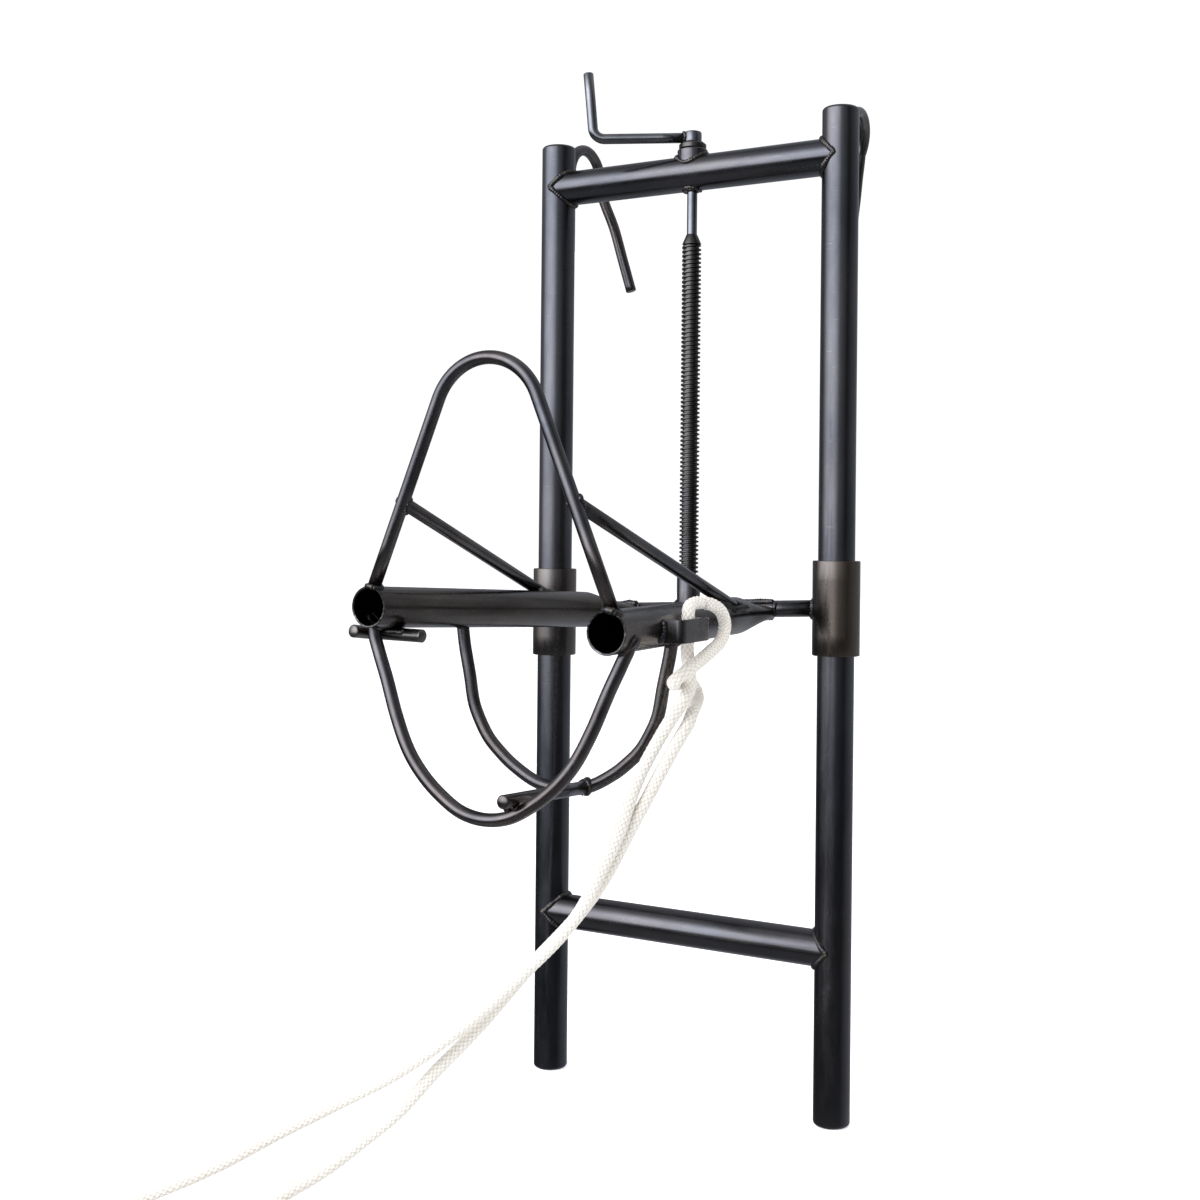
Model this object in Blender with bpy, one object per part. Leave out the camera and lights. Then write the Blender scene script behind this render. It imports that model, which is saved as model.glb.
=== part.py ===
"""Hang-on livestock head rest with a crank screw.

Two upright tubes are joined by a top and a bottom bar and hang by two rod hooks on a rail
behind them.  A crank turns a vertical lead screw.  The screw lifts a carriage that slides on
the uprights: two sleeves, a cross bar with the lift nut, two forward arm tubes, a nose loop
with braces, two cradle loops with a chin bar, a rope lug, a cleat hook and a hitched rope.

Lengths below are in millimetres: x to the right, y to the back from the plane of the
uprights, z above the feet.  The part's origin is on top of the rail, under the hooks.
"""
import math

import bmesh
import bpy
from mathutils import Matrix, Vector

MM = 0.001
GAP = 0.3                      # air left between neighbouring solids

# where the frame hangs
RAIL_BACK = 55.0
HANG_HEIGHT = 955.5

# frame
HALF_SPACING = 155.0
UPRIGHT_HEIGHT = 952.5
TUBE_R = 17.25
TUBE_BORE_R = 13.85
ARM_BORE_R = 15.3
CAP_THICK = 3.7
CAP_EDGE_R = 3.4
TOP_BAR_Z = 908.2
BOTTOM_BAR_Z = 162.7
ROD_R = 5.55

# hooks
HOOK_LEG_Y = TUBE_R + ROD_R + GAP
HOOK_BEND_R = RAIL_BACK - HOOK_LEG_Y
HOOK_BEND_Z = HANG_HEIGHT + ROD_R - HOOK_BEND_R
HOOK_FOOT_Z = 848.0
HOOK_LEAN = {-1: 0.0, 1: 13.4}    # the right hook's free leg is bent inwards

# crank and screw
CRANK_R = 5.0
CRANK_X = -90.0
CRANK_Y = -42.0
CRANK_ARM_Z = 943.5
CRANK_TOP_Z = 1009.0
CRANK_SPLAY = 1.05             # the handle leans out towards its top
HUB_R = 8.8
HUB_TOP_Z = 949.5
SHANK_END_Z = 848.3
SCREW_R = 9.525
SCREW_TOP_Z = 848.0
SCREW_SHOULDER_Z = 838.0
SCREW_LOW_Z = 455.0
BUSHING_R = 8.0
BUSHING_BORE_R = 5.5
BUSHING_LOW_Z = TOP_BAR_Z - TUBE_R - 1.0
BOSS_TOP_Z = 931.5
BOSS_R = 15.0
COLLAR_R = 13.5
COLLAR_BORE_R = 5.3
COLLAR_TOP_Z = 937.0

# carriage; the cross bar is welded a little out of level
CROSS_Z = 477.5
CROSS_SLOPE = 0.0397
CROSS_R = 8.0
NUT_R = 11.5
NUT_BORE_R = 9.9
NUT_LOW_Z = 462.0
NUT_TOP_Z = 511.0
SLEEVE_R = 22.25
SLEEVE_BORE_R = 17.85
SLEEVE_LENGTH = 88.9
SLEEVE_Z = {-1: 471.3, 1: 483.6}
ARM_FRONT_Y = -360.5
ARM_FRONT_X = 113.0
ARM_TOE = 0.1099
ARM_FRONT_Z = {-1: 488.1, 1: 475.0}
ARM_REAR_Z = {-1: 475.3, 1: 477.0}

# nose loop
NOSE_Y = -356.0
NOSE_ARCH_Z = 637.4
NOSE_ARCH_R = 50.8
NOSE_LEG_ANGLE = math.radians(22.6)

# rope
ROPE_D = 11.0
COIL_OUTER_R = 67.5
COIL_INNER_R = 45.1
COIL_A = (-234.0, -592.0)
COIL_B = (-115.0, -514.0)

SIDE_NAME = {-1: "left", 1: "right"}


def at(x, y, z):
    """A point of the frame in the part's own axes, in metres."""
    return Vector((x, y - RAIL_BACK, z - HANG_HEIGHT)) * MM


def clear_scene():
    for obj in list(bpy.data.objects):
        bpy.data.objects.remove(obj, do_unlink=True)


def add_solid(name, points, faces):
    mesh = bpy.data.meshes.new(name)
    mesh.from_pydata([tuple(p) for p in points], [], faces)
    work = bmesh.new()
    work.from_mesh(mesh)
    bmesh.ops.recalc_face_normals(work, faces=work.faces)
    work.to_mesh(mesh)
    work.free()
    obj = bpy.data.objects.new(name, mesh)
    bpy.context.scene.collection.objects.link(obj)
    return obj


def from_rings(name, rings, closed=False):
    """Join rings of equal count: into a ring-shaped solid, or into a solid with two end faces."""
    count = len(rings[0])
    points = [p for ring in rings for p in ring]
    faces = []
    last = len(rings) if closed else len(rings) - 1
    for i in range(last):
        a = i * count
        b = ((i + 1) % len(rings)) * count
        for j in range(count):
            k = (j + 1) % count
            faces.append((a + j, a + k, b + k, b + j))
    if not closed:
        faces.append(tuple(reversed(range(count))))
        faces.append(tuple(range(len(points) - count, len(points))))
    return add_solid(name, points, faces)


def circle(centre, u, v, radius, sides):
    ring = []
    for i in range(sides):
        a = 2 * math.pi * i / sides
        ring.append(centre + (u * math.cos(a) + v * math.sin(a)) * radius)
    return ring


def square_axes(direction):
    """Two unit vectors at right angles to a direction and to each other."""
    side = Vector((1, 0, 0)) if abs(direction.x) < 0.8 else Vector((0, 1, 0))
    u = direction.cross(side).normalized()
    return u, direction.cross(u).normalized()


def turned(name, start, end, profile, hollow=False, sides=32):
    """A lathe shape: profile is (radius, distance from start) in millimetres."""
    start, end = at(*start), at(*end)
    axis = (end - start).normalized()
    u, v = square_axes(axis)
    rings = [circle(start + axis * (s * MM), u, v, r * MM, sides) for r, s in profile]
    return from_rings(name, rings, closed=hollow)


def pipe(name, start, end, outer, inner, sides=32):
    length = (Vector(end) - Vector(start)).length
    profile = [(outer, 0), (outer, length), (inner, length), (inner, 0)]
    return turned(name, start, end, profile, hollow=True, sides=sides)


def rod(name, path, radius, sides=10):
    """A round rod along a list of points, with square ends."""
    points = [at(*p) for p in path]
    tangents = []
    for i in range(len(points)):
        before = points[max(i - 1, 0)]
        after = points[min(i + 1, len(points) - 1)]
        tangents.append((after - before).normalized())
    u, v = square_axes(tangents[0])
    rings = []
    for i, point in enumerate(points):
        if i:
            swing = tangents[i - 1].rotation_difference(tangents[i])
            u = swing @ u
            v = swing @ v
        rings.append(circle(point, u, v, radius * MM, sides))
    return from_rings(name, rings)


def rounded(points, per_span):
    """Pass a smooth curve through hand-set points."""
    pts = [Vector(p) for p in points]
    pts = [pts[0] * 2 - pts[1]] + pts + [pts[-1] * 2 - pts[-2]]
    path = []
    for i in range(1, len(pts) - 2):
        p0, p1, p2, p3 = pts[i - 1:i + 3]
        t0 = 0.0
        t1 = t0 + math.sqrt((p1 - p0).length)
        t2 = t1 + math.sqrt((p2 - p1).length)
        t3 = t2 + math.sqrt((p3 - p2).length)
        for n in range(per_span):
            t = t1 + (t2 - t1) * n / per_span
            a1 = p0.lerp(p1, (t - t0) / (t1 - t0))
            a2 = p1.lerp(p2, (t - t1) / (t2 - t1))
            a3 = p2.lerp(p3, (t - t2) / (t3 - t2))
            b1 = a1.lerp(a2, (t - t0) / (t2 - t0))
            b2 = a2.lerp(a3, (t - t1) / (t3 - t1))
            path.append(tuple(b1.lerp(b2, (t - t1) / (t2 - t1))))
    path.append(tuple(pts[-2]))
    return path


def bend(centre, radius, across, up, first, last, steps):
    """Points of a circular bend; angles in degrees from the across direction to the up one."""
    centre, across, up = Vector(centre), Vector(across), Vector(up)
    points = []
    for i in range(steps + 1):
        a = math.radians(first + (last - first) * i / steps)
        points.append(tuple(centre + (across * math.cos(a) + up * math.sin(a)) * radius))
    return points


def cut(target, *cutters):
    for cutter in cutters:
        modifier = target.modifiers.new("cut", "BOOLEAN")
        modifier.operation = "DIFFERENCE"
        modifier.solver = "EXACT"
        modifier.object = cutter
    return target


def cutter(name, start, end, radius, sides=48):
    """A plain round bar that only takes material away."""
    length = (Vector(end) - Vector(start)).length
    bar = turned("cut_" + name, start, end, [(radius, 0), (radius, length)], sides=sides)
    bar.hide_render = True
    bar.display_type = "WIRE"
    return bar


def cross_z(x):
    return CROSS_Z + CROSS_SLOPE * x


def arm_x(y):
    """Half distance between the arm axes; the arms toe out towards the front."""
    return ARM_FRONT_X - ARM_TOE * (y - ARM_FRONT_Y)


def arm_z(side, y):
    share = (y - ARM_FRONT_Y) / -ARM_FRONT_Y
    return ARM_FRONT_Z[side] + (ARM_REAR_Z[side] - ARM_FRONT_Z[side]) * share


def arm_axis(side, y):
    return (side * arm_x(y), y, arm_z(side, y))


def make_upright(side):
    x = side * HALF_SPACING
    name = SIDE_NAME[side]
    low = CAP_THICK + GAP
    high = UPRIGHT_HEIGHT - low
    pipe("upright_" + name, (x, 0, low), (x, 0, high), TUBE_R, TUBE_BORE_R)
    for where, face_z, inward in (("bottom", 0.0, 1), ("top", UPRIGHT_HEIGHT, -1)):
        profile = []
        for i in range(5):
            a = math.pi / 2 * i / 4
            profile.append((TUBE_R - CAP_EDGE_R + CAP_EDGE_R * math.sin(a), CAP_EDGE_R * (1 - math.cos(a))))
        profile.append((TUBE_R, CAP_THICK))
        profile.append((TUBE_BORE_R - GAP, CAP_THICK))
        profile.append((TUBE_BORE_R - GAP, CAP_THICK + 3.0))
        turned("upright_cap_%s_%s" % (where, name), (x, 0, face_z), (x, 0, face_z + inward * 10), profile)


def make_bars(upright_cutters):
    top = pipe("top_bar", (-HALF_SPACING, 0, TOP_BAR_Z), (HALF_SPACING, 0, TOP_BAR_Z), TUBE_R, TUBE_BORE_R)
    hole = cutter("bushing_hole", (0, 0, TOP_BAR_Z - 25), (0, 0, TOP_BAR_Z + 25), BUSHING_R + GAP)
    cut(top, *upright_cutters, hole)
    bottom = pipe("bottom_bar", (-HALF_SPACING, 0, BOTTOM_BAR_Z), (HALF_SPACING, 0, BOTTOM_BAR_Z),
                  TUBE_R, TUBE_BORE_R)
    cut(bottom, *upright_cutters)


def make_hook(side):
    x = side * HALF_SPACING
    lean = HOOK_LEAN[side]
    path = [(x, HOOK_LEG_Y, HOOK_FOOT_Z)]
    arch = bend((x, RAIL_BACK, HOOK_BEND_Z), HOOK_BEND_R, (0, -1, 0), (0, 0, 1), 0, 180, 12)
    path += [(px - lean * (i / 12) ** 3, py, pz) for i, (px, py, pz) in enumerate(arch)]
    end_y = RAIL_BACK + HOOK_BEND_R
    tail = [(x - lean, end_y, HOOK_BEND_Z), (side * 154 - lean, end_y + 0.4, 921),
            (side * 149.5 - 0.85 * lean, end_y + 2.5, 907), (side * 141 - 0.48 * lean, end_y + 5.5, 884),
            (side * 131.5 - 0.2 * lean, end_y + 8.5, 849), (side * 122, end_y + 11, 815)]
    path += rounded(tail, 2)[1:]
    rod("hook_" + SIDE_NAME[side], path, ROD_R)


def make_bushing():
    pipe("screw_bushing", (0, 0, BUSHING_LOW_Z), (0, 0, BOSS_TOP_Z), BUSHING_R, BUSHING_BORE_R, sides=24)
    boss = pipe("bushing_boss", (0, 0, TOP_BAR_Z), (0, 0, BOSS_TOP_Z), BOSS_R, BUSHING_R + GAP, sides=24)
    bar = cutter("top_bar_body", (-40, 0, TOP_BAR_Z), (40, 0, TOP_BAR_Z), TUBE_R + GAP)
    cut(boss, bar)


def make_crank():
    """Handle rod, the shaft it is welded to, the collar on the shaft and the screw below."""
    reach = math.hypot(CRANK_X, CRANK_Y)
    out = Vector((CRANK_X / reach, CRANK_Y / reach, 0))
    elbow_r = 12.0
    path = [(CRANK_X * CRANK_SPLAY, CRANK_Y * CRANK_SPLAY, CRANK_TOP_Z)]
    elbow_centre = out * (reach - elbow_r) + Vector((0, 0, CRANK_ARM_Z + elbow_r))
    path += bend(elbow_centre, elbow_r, out, (0, 0, -1), 0, 90, 6)
    path.append(tuple(out * 4.0 + Vector((0, 0, CRANK_ARM_Z))))
    handle = rod("crank_rod", path, CRANK_R, sides=16)
    cut(handle, cutter("hub_body", (0, 0, 930), (0, 0, 960), HUB_R + GAP))
    hub_low = COLLAR_TOP_Z + GAP - SHANK_END_Z
    height = HUB_TOP_Z - SHANK_END_Z
    profile = [(CRANK_R, 0), (CRANK_R, hub_low), (HUB_R, hub_low), (HUB_R, height - 1.5), (HUB_R - 1.5, height)]
    turned("crank_shaft", (0, 0, SHANK_END_Z), (0, 0, HUB_TOP_Z), profile)
    pipe("thrust_collar", (0, 0, BOSS_TOP_Z + GAP), (0, 0, COLLAR_TOP_Z), COLLAR_R, COLLAR_BORE_R, sides=24)
    profile = [(SCREW_R - 1.6, 0), (SCREW_R, 2.5), (SCREW_R, SCREW_SHOULDER_Z - SCREW_LOW_Z),
               (CRANK_R + 0.5, SCREW_TOP_Z - SCREW_LOW_Z)]
    turned("lead_screw", (0, 0, SCREW_LOW_Z), (0, 0, SCREW_TOP_Z), profile)


def make_nut():
    height = NUT_TOP_Z - NUT_LOW_Z
    profile = [(NUT_R - 0.8, 0), (NUT_R, 1.2), (NUT_R, height - 2), (NUT_R - 1.2, height),
               (NUT_BORE_R, height), (NUT_BORE_R, 0)]
    turned("lift_nut", (0, 0, NUT_LOW_Z), (0, 0, NUT_TOP_Z), profile, hollow=True)


def make_sleeve(side):
    x = side * HALF_SPACING
    low = SLEEVE_Z[side] - SLEEVE_LENGTH / 2
    profile = [(SLEEVE_R - 0.5, 0), (SLEEVE_R, 0.8), (SLEEVE_R, SLEEVE_LENGTH - 0.8),
               (SLEEVE_R - 0.5, SLEEVE_LENGTH), (SLEEVE_BORE_R, SLEEVE_LENGTH), (SLEEVE_BORE_R, 0)]
    turned("sleeve_" + SIDE_NAME[side], (x, 0, low), (x, 0, low + SLEEVE_LENGTH), profile, hollow=True)


def make_cross_bars():
    nut = cutter("nut_body", (0, 0, 440), (0, 0, 530), NUT_R + GAP)
    for side in (-1, 1):
        x = side * HALF_SPACING
        name = SIDE_NAME[side]
        bar = turned("cross_bar_" + name, (0, 0, cross_z(0)), (x, 0, cross_z(x)),
                     [(CROSS_R, 0), (CROSS_R, abs(x))], sides=24)
        sleeve = cutter("sleeve_body_" + name, (x, 0, 420), (x, 0, 540), SLEEVE_R + GAP)
        cut(bar, nut, sleeve)


def make_arm(side):
    """A forward tube: round and open at the front, crushed flat against the cross bar behind."""
    rear_y = -1.0
    crush_from = -62.0
    stations = [(ARM_FRONT_Y, 0.0), (crush_from, 0.0)]
    for i in range(1, 5):
        share = i / 4
        ease = share * share * (3 - 2 * share)
        stations.append((crush_from + 48 * share, ease))
    stations.append((rear_y, 1.0))
    rings_out, rings_in = [], []
    sides = 24
    for y, crush in stations:
        centre = Vector(arm_axis(side, y))
        half_w = TUBE_R + (21.5 - TUBE_R) * crush
        half_h = TUBE_R + (7.5 - TUBE_R) * crush
        wall = TUBE_R - ARM_BORE_R
        outer, inner = [], []
        for j in range(sides):
            a = 2 * math.pi * (j + 0.5) / sides
            power = 1 - 0.35 * crush
            ca = math.copysign(abs(math.cos(a)) ** power, math.cos(a))
            sa = math.copysign(abs(math.sin(a)) ** power, math.sin(a))
            outer.append(at(centre.x + half_w * ca, y, centre.z + half_h * sa))
            inner.append(at(centre.x + (half_w - wall) * ca, y, centre.z + (half_h - wall) * sa))
        rings_out.append(outer)
        rings_in.append(inner)
    arm = from_rings("arm_" + SIDE_NAME[side], rings_out + rings_in[::-1], closed=True)
    x0, x1 = side * 30.0, side * 120.0
    bar = cutter("cross_bar_body_" + SIDE_NAME[side], (x0, 0, cross_z(x0)), (x1, 0, cross_z(x1)), CROSS_R + GAP)
    cut(arm, bar)


def make_arm_cutter(side, use):
    """The space an arm fills, to cope the rods that are welded on it."""
    return cutter("arm_body_%s_%s" % (SIDE_NAME[side], use), arm_axis(side, ARM_FRONT_Y - 20),
                  arm_axis(side, -30), TUBE_R + GAP)


def nose_leg_x(z):
    tangent_z = NOSE_ARCH_Z + NOSE_ARCH_R * math.sin(NOSE_LEG_ANGLE)
    tangent_x = NOSE_ARCH_R * math.cos(NOSE_LEG_ANGLE)
    return tangent_x + math.tan(NOSE_LEG_ANGLE) * (tangent_z - z)


def make_nose_loop(arm_cutters):
    """An upside-down V of rod with a round top; each leg stands on the front of an arm."""
    foot_left = arm_z(-1, NOSE_Y) + 6
    foot_right = arm_z(1, NOSE_Y) + 6
    lean = math.degrees(NOSE_LEG_ANGLE)
    path = [(-nose_leg_x(foot_left), NOSE_Y, foot_left)]
    path += bend((0, NOSE_Y, NOSE_ARCH_Z), NOSE_ARCH_R, (-1, 0, 0), (0, 0, 1), lean, 180 - lean, 14)
    path.append((nose_leg_x(foot_right), NOSE_Y, foot_right))
    cut(rod("nose_loop", path, ROD_R, sides=12), *arm_cutters)


def make_brace(side, arm_cutter):
    top_z = 574.0
    top = (side * nose_leg_x(top_z), NOSE_Y, top_z)
    end = (side * 96.5, -104.0, arm_z(side, -104.0) + 11.0)
    brace = rod("brace_" + SIDE_NAME[side], [top, end], ROD_R, sides=12)
    low = (side * nose_leg_x(530), NOSE_Y, 530)
    high = (side * nose_leg_x(620), NOSE_Y, 620)
    leg = cutter("nose_leg_" + SIDE_NAME[side], low, high, ROD_R + GAP, sides=24)
    cut(brace, leg, arm_cutter)


def make_front_cradle(arm_cutters):
    """The front U under the arms; it leans forward towards its bottom."""
    half = [(0, 322.8), (22.3, 326.4), (42.5, 337), (62.7, 352.7), (78.9, 371.4), (93.1, 397.7),
            (105.8, 428.1), (116.5, 451.5), (121.6, 464), (122.5, 478)]
    points = [(-x, z) for x, z in half[:0:-1]] + half
    path = []
    for x, z in points:
        lean = min(max((z - 322.8) / 142.7, 0), 1)
        path.append((x, -353 + 13 * lean, z))
    cut(rod("front_cradle_loop", rounded(path, 2), ROD_R), *arm_cutters)


def make_rear_cradle(arm_cutters):
    half = [(0, 331.9), (25.3, 335.5), (50.3, 348.4), (63.8, 358.7), (75.9, 370.4), (85, 384.6),
            (91.9, 399.7), (96.7, 424), (102.7, 451.9), (105.2, 470)]
    points = [(-x, z) for x, z in half[:0:-1]] + half
    path = [(x, -236.0, z) for x, z in points]
    cut(rod("rear_cradle_loop", rounded(path, 2), ROD_R), *arm_cutters)


def make_chin_bar():
    rod("chin_bar", [(26.3, -368.0, 341.2), (24.8, -236.0 - 2 * ROD_R - GAP, 335.9)], ROD_R, sides=16)


def make_rope_lug(arm_cutter):
    """A bent flat bar standing off the right arm's outer side."""
    half_height = 9.5
    thick = 3.0
    stand_off = 13.2
    toe = Vector((-ARM_TOE, 1, 0)).normalized()
    out = Vector((toe.y, -toe.x, 0))
    rear, front = -223.0, -283.0
    corner = 5.0
    base = Vector((arm_x(-253.0), -253.0, 0))
    rear_s = (rear + 253.0) / toe.y
    front_s = (front + 253.0) / toe.y
    face = TUBE_R + stand_off
    line = [(front_s, 0.0), (front_s, face - corner + thick / 2)]
    line += [(front_s + corner * (1 - math.cos(a)), face - corner + thick / 2 + corner * math.sin(a))
             for a in (math.pi / 6, math.pi / 3, math.pi / 2)]
    line += [(rear_s - corner * (1 - math.cos(a)), face - corner + thick / 2 + corner * math.sin(a))
             for a in (math.pi / 2, math.pi / 3, math.pi / 6)]
    line += [(rear_s, face - corner + thick / 2), (rear_s, 0.0)]
    rings = []
    for i, (s, w) in enumerate(line):
        before = Vector(line[max(i - 1, 0)])
        after = Vector(line[min(i + 1, len(line) - 1)])
        way = (after - before).normalized()
        normal = Vector((-way.y, way.x)) * thick / 2
        ring = []
        for n, dz in ((1, -1), (1, 1), (-1, 1), (-1, -1)):
            spot = base + toe * (s + normal.x * n) + out * (w + normal.y * n)
            ring.append(at(spot.x, spot.y, 473.0 + dz * half_height))
        rings.append(ring)
    lug = from_rings("rope_lug", rings)
    cut(lug, arm_cutter)


def make_cleat_hook(arm_cutter):
    """A bent rod under the left arm, where a rope end is made fast."""
    path = rounded([(-80, -328.5, 463.8), (-96, -328.5, 464.2), (-112, -328.5, 464.5),
                    (-124, -329.5, 464.8), (-132, -333.5, 465.2), (-136.3, -341, 466),
                    (-137, -350, 467)], 3)
    cut(rod("cleat_hook", path, ROD_R), arm_cutter)


def make_rope(name, points):
    """Round braided rope along a smooth path."""
    curve = bpy.data.curves.new(name, "CURVE")
    curve.dimensions = "3D"
    curve.bevel_depth = ROPE_D / 2 * MM
    curve.bevel_resolution = 3
    curve.use_fill_caps = True
    spline = curve.splines.new("POLY")
    spline.points.add(len(points) - 1)
    for spot, point in zip(spline.points, points):
        x, y, z = at(*point)
        spot.co = (x, y, z, 1)
    obj = bpy.data.objects.new(name, curve)
    bpy.context.scene.collection.objects.link(obj)
    return obj


def make_ropes():
    """One rope hitched through the lug; both ends run down and forward to coils on the floor."""
    hitch_a = [(123, -218.6, 494), (122, -229, 494), (122, -240, 491), (123.6, -245, 483),
               (124.3, -245.5, 472), (123, -245, 460), (122, -242, 449), (122, -238, 437),
               (121, -237, 424), (117, -244, 411), (111, -250.5, 399)]
    leg_a = [(103, -254, 384), (94, -259, 365), (86, -264, 344), (77, -272, 309), (67.5, -278.5, 284),
             (47, -291, 238), (4, -315, 186), (-39, -337, 143), (-83, -357, 108), (-126, -378, 82),
             (-162, -408.8, 60.4), (-195.7, -441, 38.7), (-232.4, -476.7, 20.5), (-262, -508, 8.5),
             (-279, -532, 5.7)]
    hitch_b = [(123, -217.4, 494), (125, -204, 492), (127, -191, 486), (128, -185.5, 477),
               (129.5, -190, 468), (131.5, -203, 460.5), (133.5, -222, 455), (134.3, -242, 449),
               (134, -258, 444), (131, -268, 439), (124, -269, 433), (117, -256, 429.5),
               (109.3, -238, 427.5), (107, -215, 427), (106, -203, 425), (107, -196.5, 419.5),
               (110, -199, 413.5), (114.5, -211, 409), (120, -229, 404), (121.5, -239, 396)]
    leg_b = [(117, -246, 384), (108, -251, 365), (98, -255, 344), (87.5, -259.5, 322), (76, -262.5, 299),
             (61, -268, 268), (40, -278.5, 235), (11, -294, 199), (-30, -317, 143), (-59, -334, 108),
             (-81, -353, 77), (-102.4, -369, 55.4), (-122.9, -394.8, 34.8), (-142, -421.3, 20.5),
             (-157, -446, 9), (-163, -457, 6.8)]
    make_rope("rope_leg_a", rounded(hitch_a, 2)[:-1] + rounded([hitch_a[-1]] + leg_a, 2))
    make_rope("rope_leg_b", rounded(hitch_b, 2)[:-1] + rounded([hitch_b[-1]] + leg_b, 2))


def make_coil(name, centre):
    """The room a flat coil of rope fills on the floor."""
    outer, inner = COIL_OUTER_R, COIL_INNER_R
    height = ROPE_D
    edge = 2.5
    profile = [(outer - edge, 0), (outer, edge), (outer, height - edge), (outer - edge, height),
               (inner + edge, height), (inner, height - edge), (inner, edge), (inner + edge, 0)]
    x, y = centre
    turned(name, (x, y, 0.0), (x, y, height), profile, hollow=True, sides=36)


clear_scene()
upright_cutters = [
    cutter("upright_" + SIDE_NAME[side], (side * HALF_SPACING, 0, -20), (side * HALF_SPACING, 0, 980), TUBE_R + GAP)
    for side in (-1, 1)
]
arm_cutters = [make_arm_cutter(side, "rods") for side in (-1, 1)]
for side in (-1, 1):
    make_upright(side)
    make_hook(side)
    make_sleeve(side)
    make_arm(side)
    make_brace(side, arm_cutters[side > 0])
make_bars(upright_cutters)
make_bushing()
make_crank()
make_nut()
make_cross_bars()
make_nose_loop(arm_cutters)
make_front_cradle(arm_cutters)
make_rear_cradle(arm_cutters)
make_chin_bar()
make_rope_lug(arm_cutters[1])
make_cleat_hook(arm_cutters[0])
make_ropes()
make_coil("rope_coil_a", COIL_A)
make_coil("rope_coil_b", COIL_B)
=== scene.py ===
"""Looks of the hang-on livestock head rest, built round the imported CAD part.

Lengths are in millimetres until at() turns them into the part's own axes: x to the right,
y to the back from the plane of the uprights, z above the feet.
"""
import math

import bmesh
import bpy
import numpy as np
from mathutils import Matrix, Vector, noise


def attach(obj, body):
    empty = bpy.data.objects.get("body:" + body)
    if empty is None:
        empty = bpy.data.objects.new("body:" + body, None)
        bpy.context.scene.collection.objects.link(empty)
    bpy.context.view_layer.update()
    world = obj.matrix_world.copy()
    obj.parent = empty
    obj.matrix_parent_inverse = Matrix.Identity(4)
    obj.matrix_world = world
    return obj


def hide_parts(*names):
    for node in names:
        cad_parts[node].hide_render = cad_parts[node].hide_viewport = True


MM = 0.001
RAIL_BACK = 55.0
HANG_HEIGHT = 955.5

# frame
HALF_SPACING = 155.0
UPRIGHT_HEIGHT = 952.5
TUBE_R = 17.25
ARM_BORE_R = 15.3
TOP_BAR_Z = 908.2
BOTTOM_BAR_Z = 162.7
ROD_R = 5.55
HOOK_LEG_Y = TUBE_R + ROD_R + 0.3
HOOK_BEND_R = RAIL_BACK - HOOK_LEG_Y
HOOK_BEND_Z = HANG_HEIGHT + ROD_R - HOOK_BEND_R
HOOK_LEAN = {-1: 0.0, 1: 13.4}

# crank and screw
CRANK_R = 5.0
CRANK_X, CRANK_Y = -90.0, -42.0
CRANK_ARM_Z = 943.5
CRANK_TOP_Z = 1009.0
CRANK_SPLAY = 1.05
HUB_R, HUB_TOP_Z = 8.8, 949.5
SCREW_R = 9.525
SCREW_ROOT_R = 7.35
SCREW_PITCH = 4.2333
SCREW_LOW_Z, SCREW_SHOULDER_Z, SCREW_TOP_Z = 455.0, 838.0, 848.0
BOSS_TOP_Z, COLLAR_TOP_Z = 931.5, 937.0

# carriage
CROSS_Z, CROSS_SLOPE, CROSS_R = 477.5, 0.0397, 8.0
NUT_R, NUT_BORE_R, NUT_LOW_Z, NUT_TOP_Z = 11.5, 9.9, 462.0, 511.0
SLEEVE_R, SLEEVE_BORE_R, SLEEVE_LENGTH = 22.25, 17.85, 88.9
SLEEVE_Z = {-1: 471.3, 1: 483.6}
ARM_FRONT_X, ARM_FRONT_Y, ARM_TOE = 113.0, -360.5, 0.1099
ARM_FRONT_Z = {-1: 488.1, 1: 475.0}
ARM_REAR_Z = {-1: 475.3, 1: 477.0}
NOSE_Y, NOSE_ARCH_Z, NOSE_ARCH_R = -356.0, 637.4, 50.8
NOSE_LEAN = math.radians(22.6)
LUG_Z = 473.0

# rope
ROPE_D = 11.0
ROPE_LENGTH = 1400.0
COIL_OUTER_R, COIL_INNER_R = 62.0, 50.6
COIL_A = (-234.0, -592.0)
COIL_B = (-115.0, -514.0)

SIDES = {-1: "left", 1: "right"}


# ---------------------------------------------------------------- the frame and the camera

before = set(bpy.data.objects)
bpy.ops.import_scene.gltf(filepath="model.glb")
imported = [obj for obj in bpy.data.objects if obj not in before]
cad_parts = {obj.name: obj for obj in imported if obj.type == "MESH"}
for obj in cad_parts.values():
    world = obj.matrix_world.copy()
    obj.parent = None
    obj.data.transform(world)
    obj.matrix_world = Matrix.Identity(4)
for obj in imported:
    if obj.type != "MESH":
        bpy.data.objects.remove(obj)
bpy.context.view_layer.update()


def at(x, y, z):
    return Vector((x, y - RAIL_BACK, z - HANG_HEIGHT)) * MM


def make_camera():
    data = bpy.data.cameras.new("camera")
    data.sensor_width = 36.0
    data.lens = 46.5
    data.shift_y = -0.0473
    data.clip_end = 60
    obj = bpy.data.objects.new("camera", data)
    bpy.context.scene.collection.objects.link(obj)
    turn = (Matrix.Rotation(math.radians(30.053), 4, "Z") @ Matrix.Rotation(math.pi / 2, 4, "X")
            @ Matrix.Rotation(math.radians(0.5536), 4, "Z"))
    obj.matrix_world = Matrix.Translation(at(690.65, -1369.01, 542.33)) @ turn
    bpy.context.scene.camera = obj


make_camera()


# ---------------------------------------------------------------- materials

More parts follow.
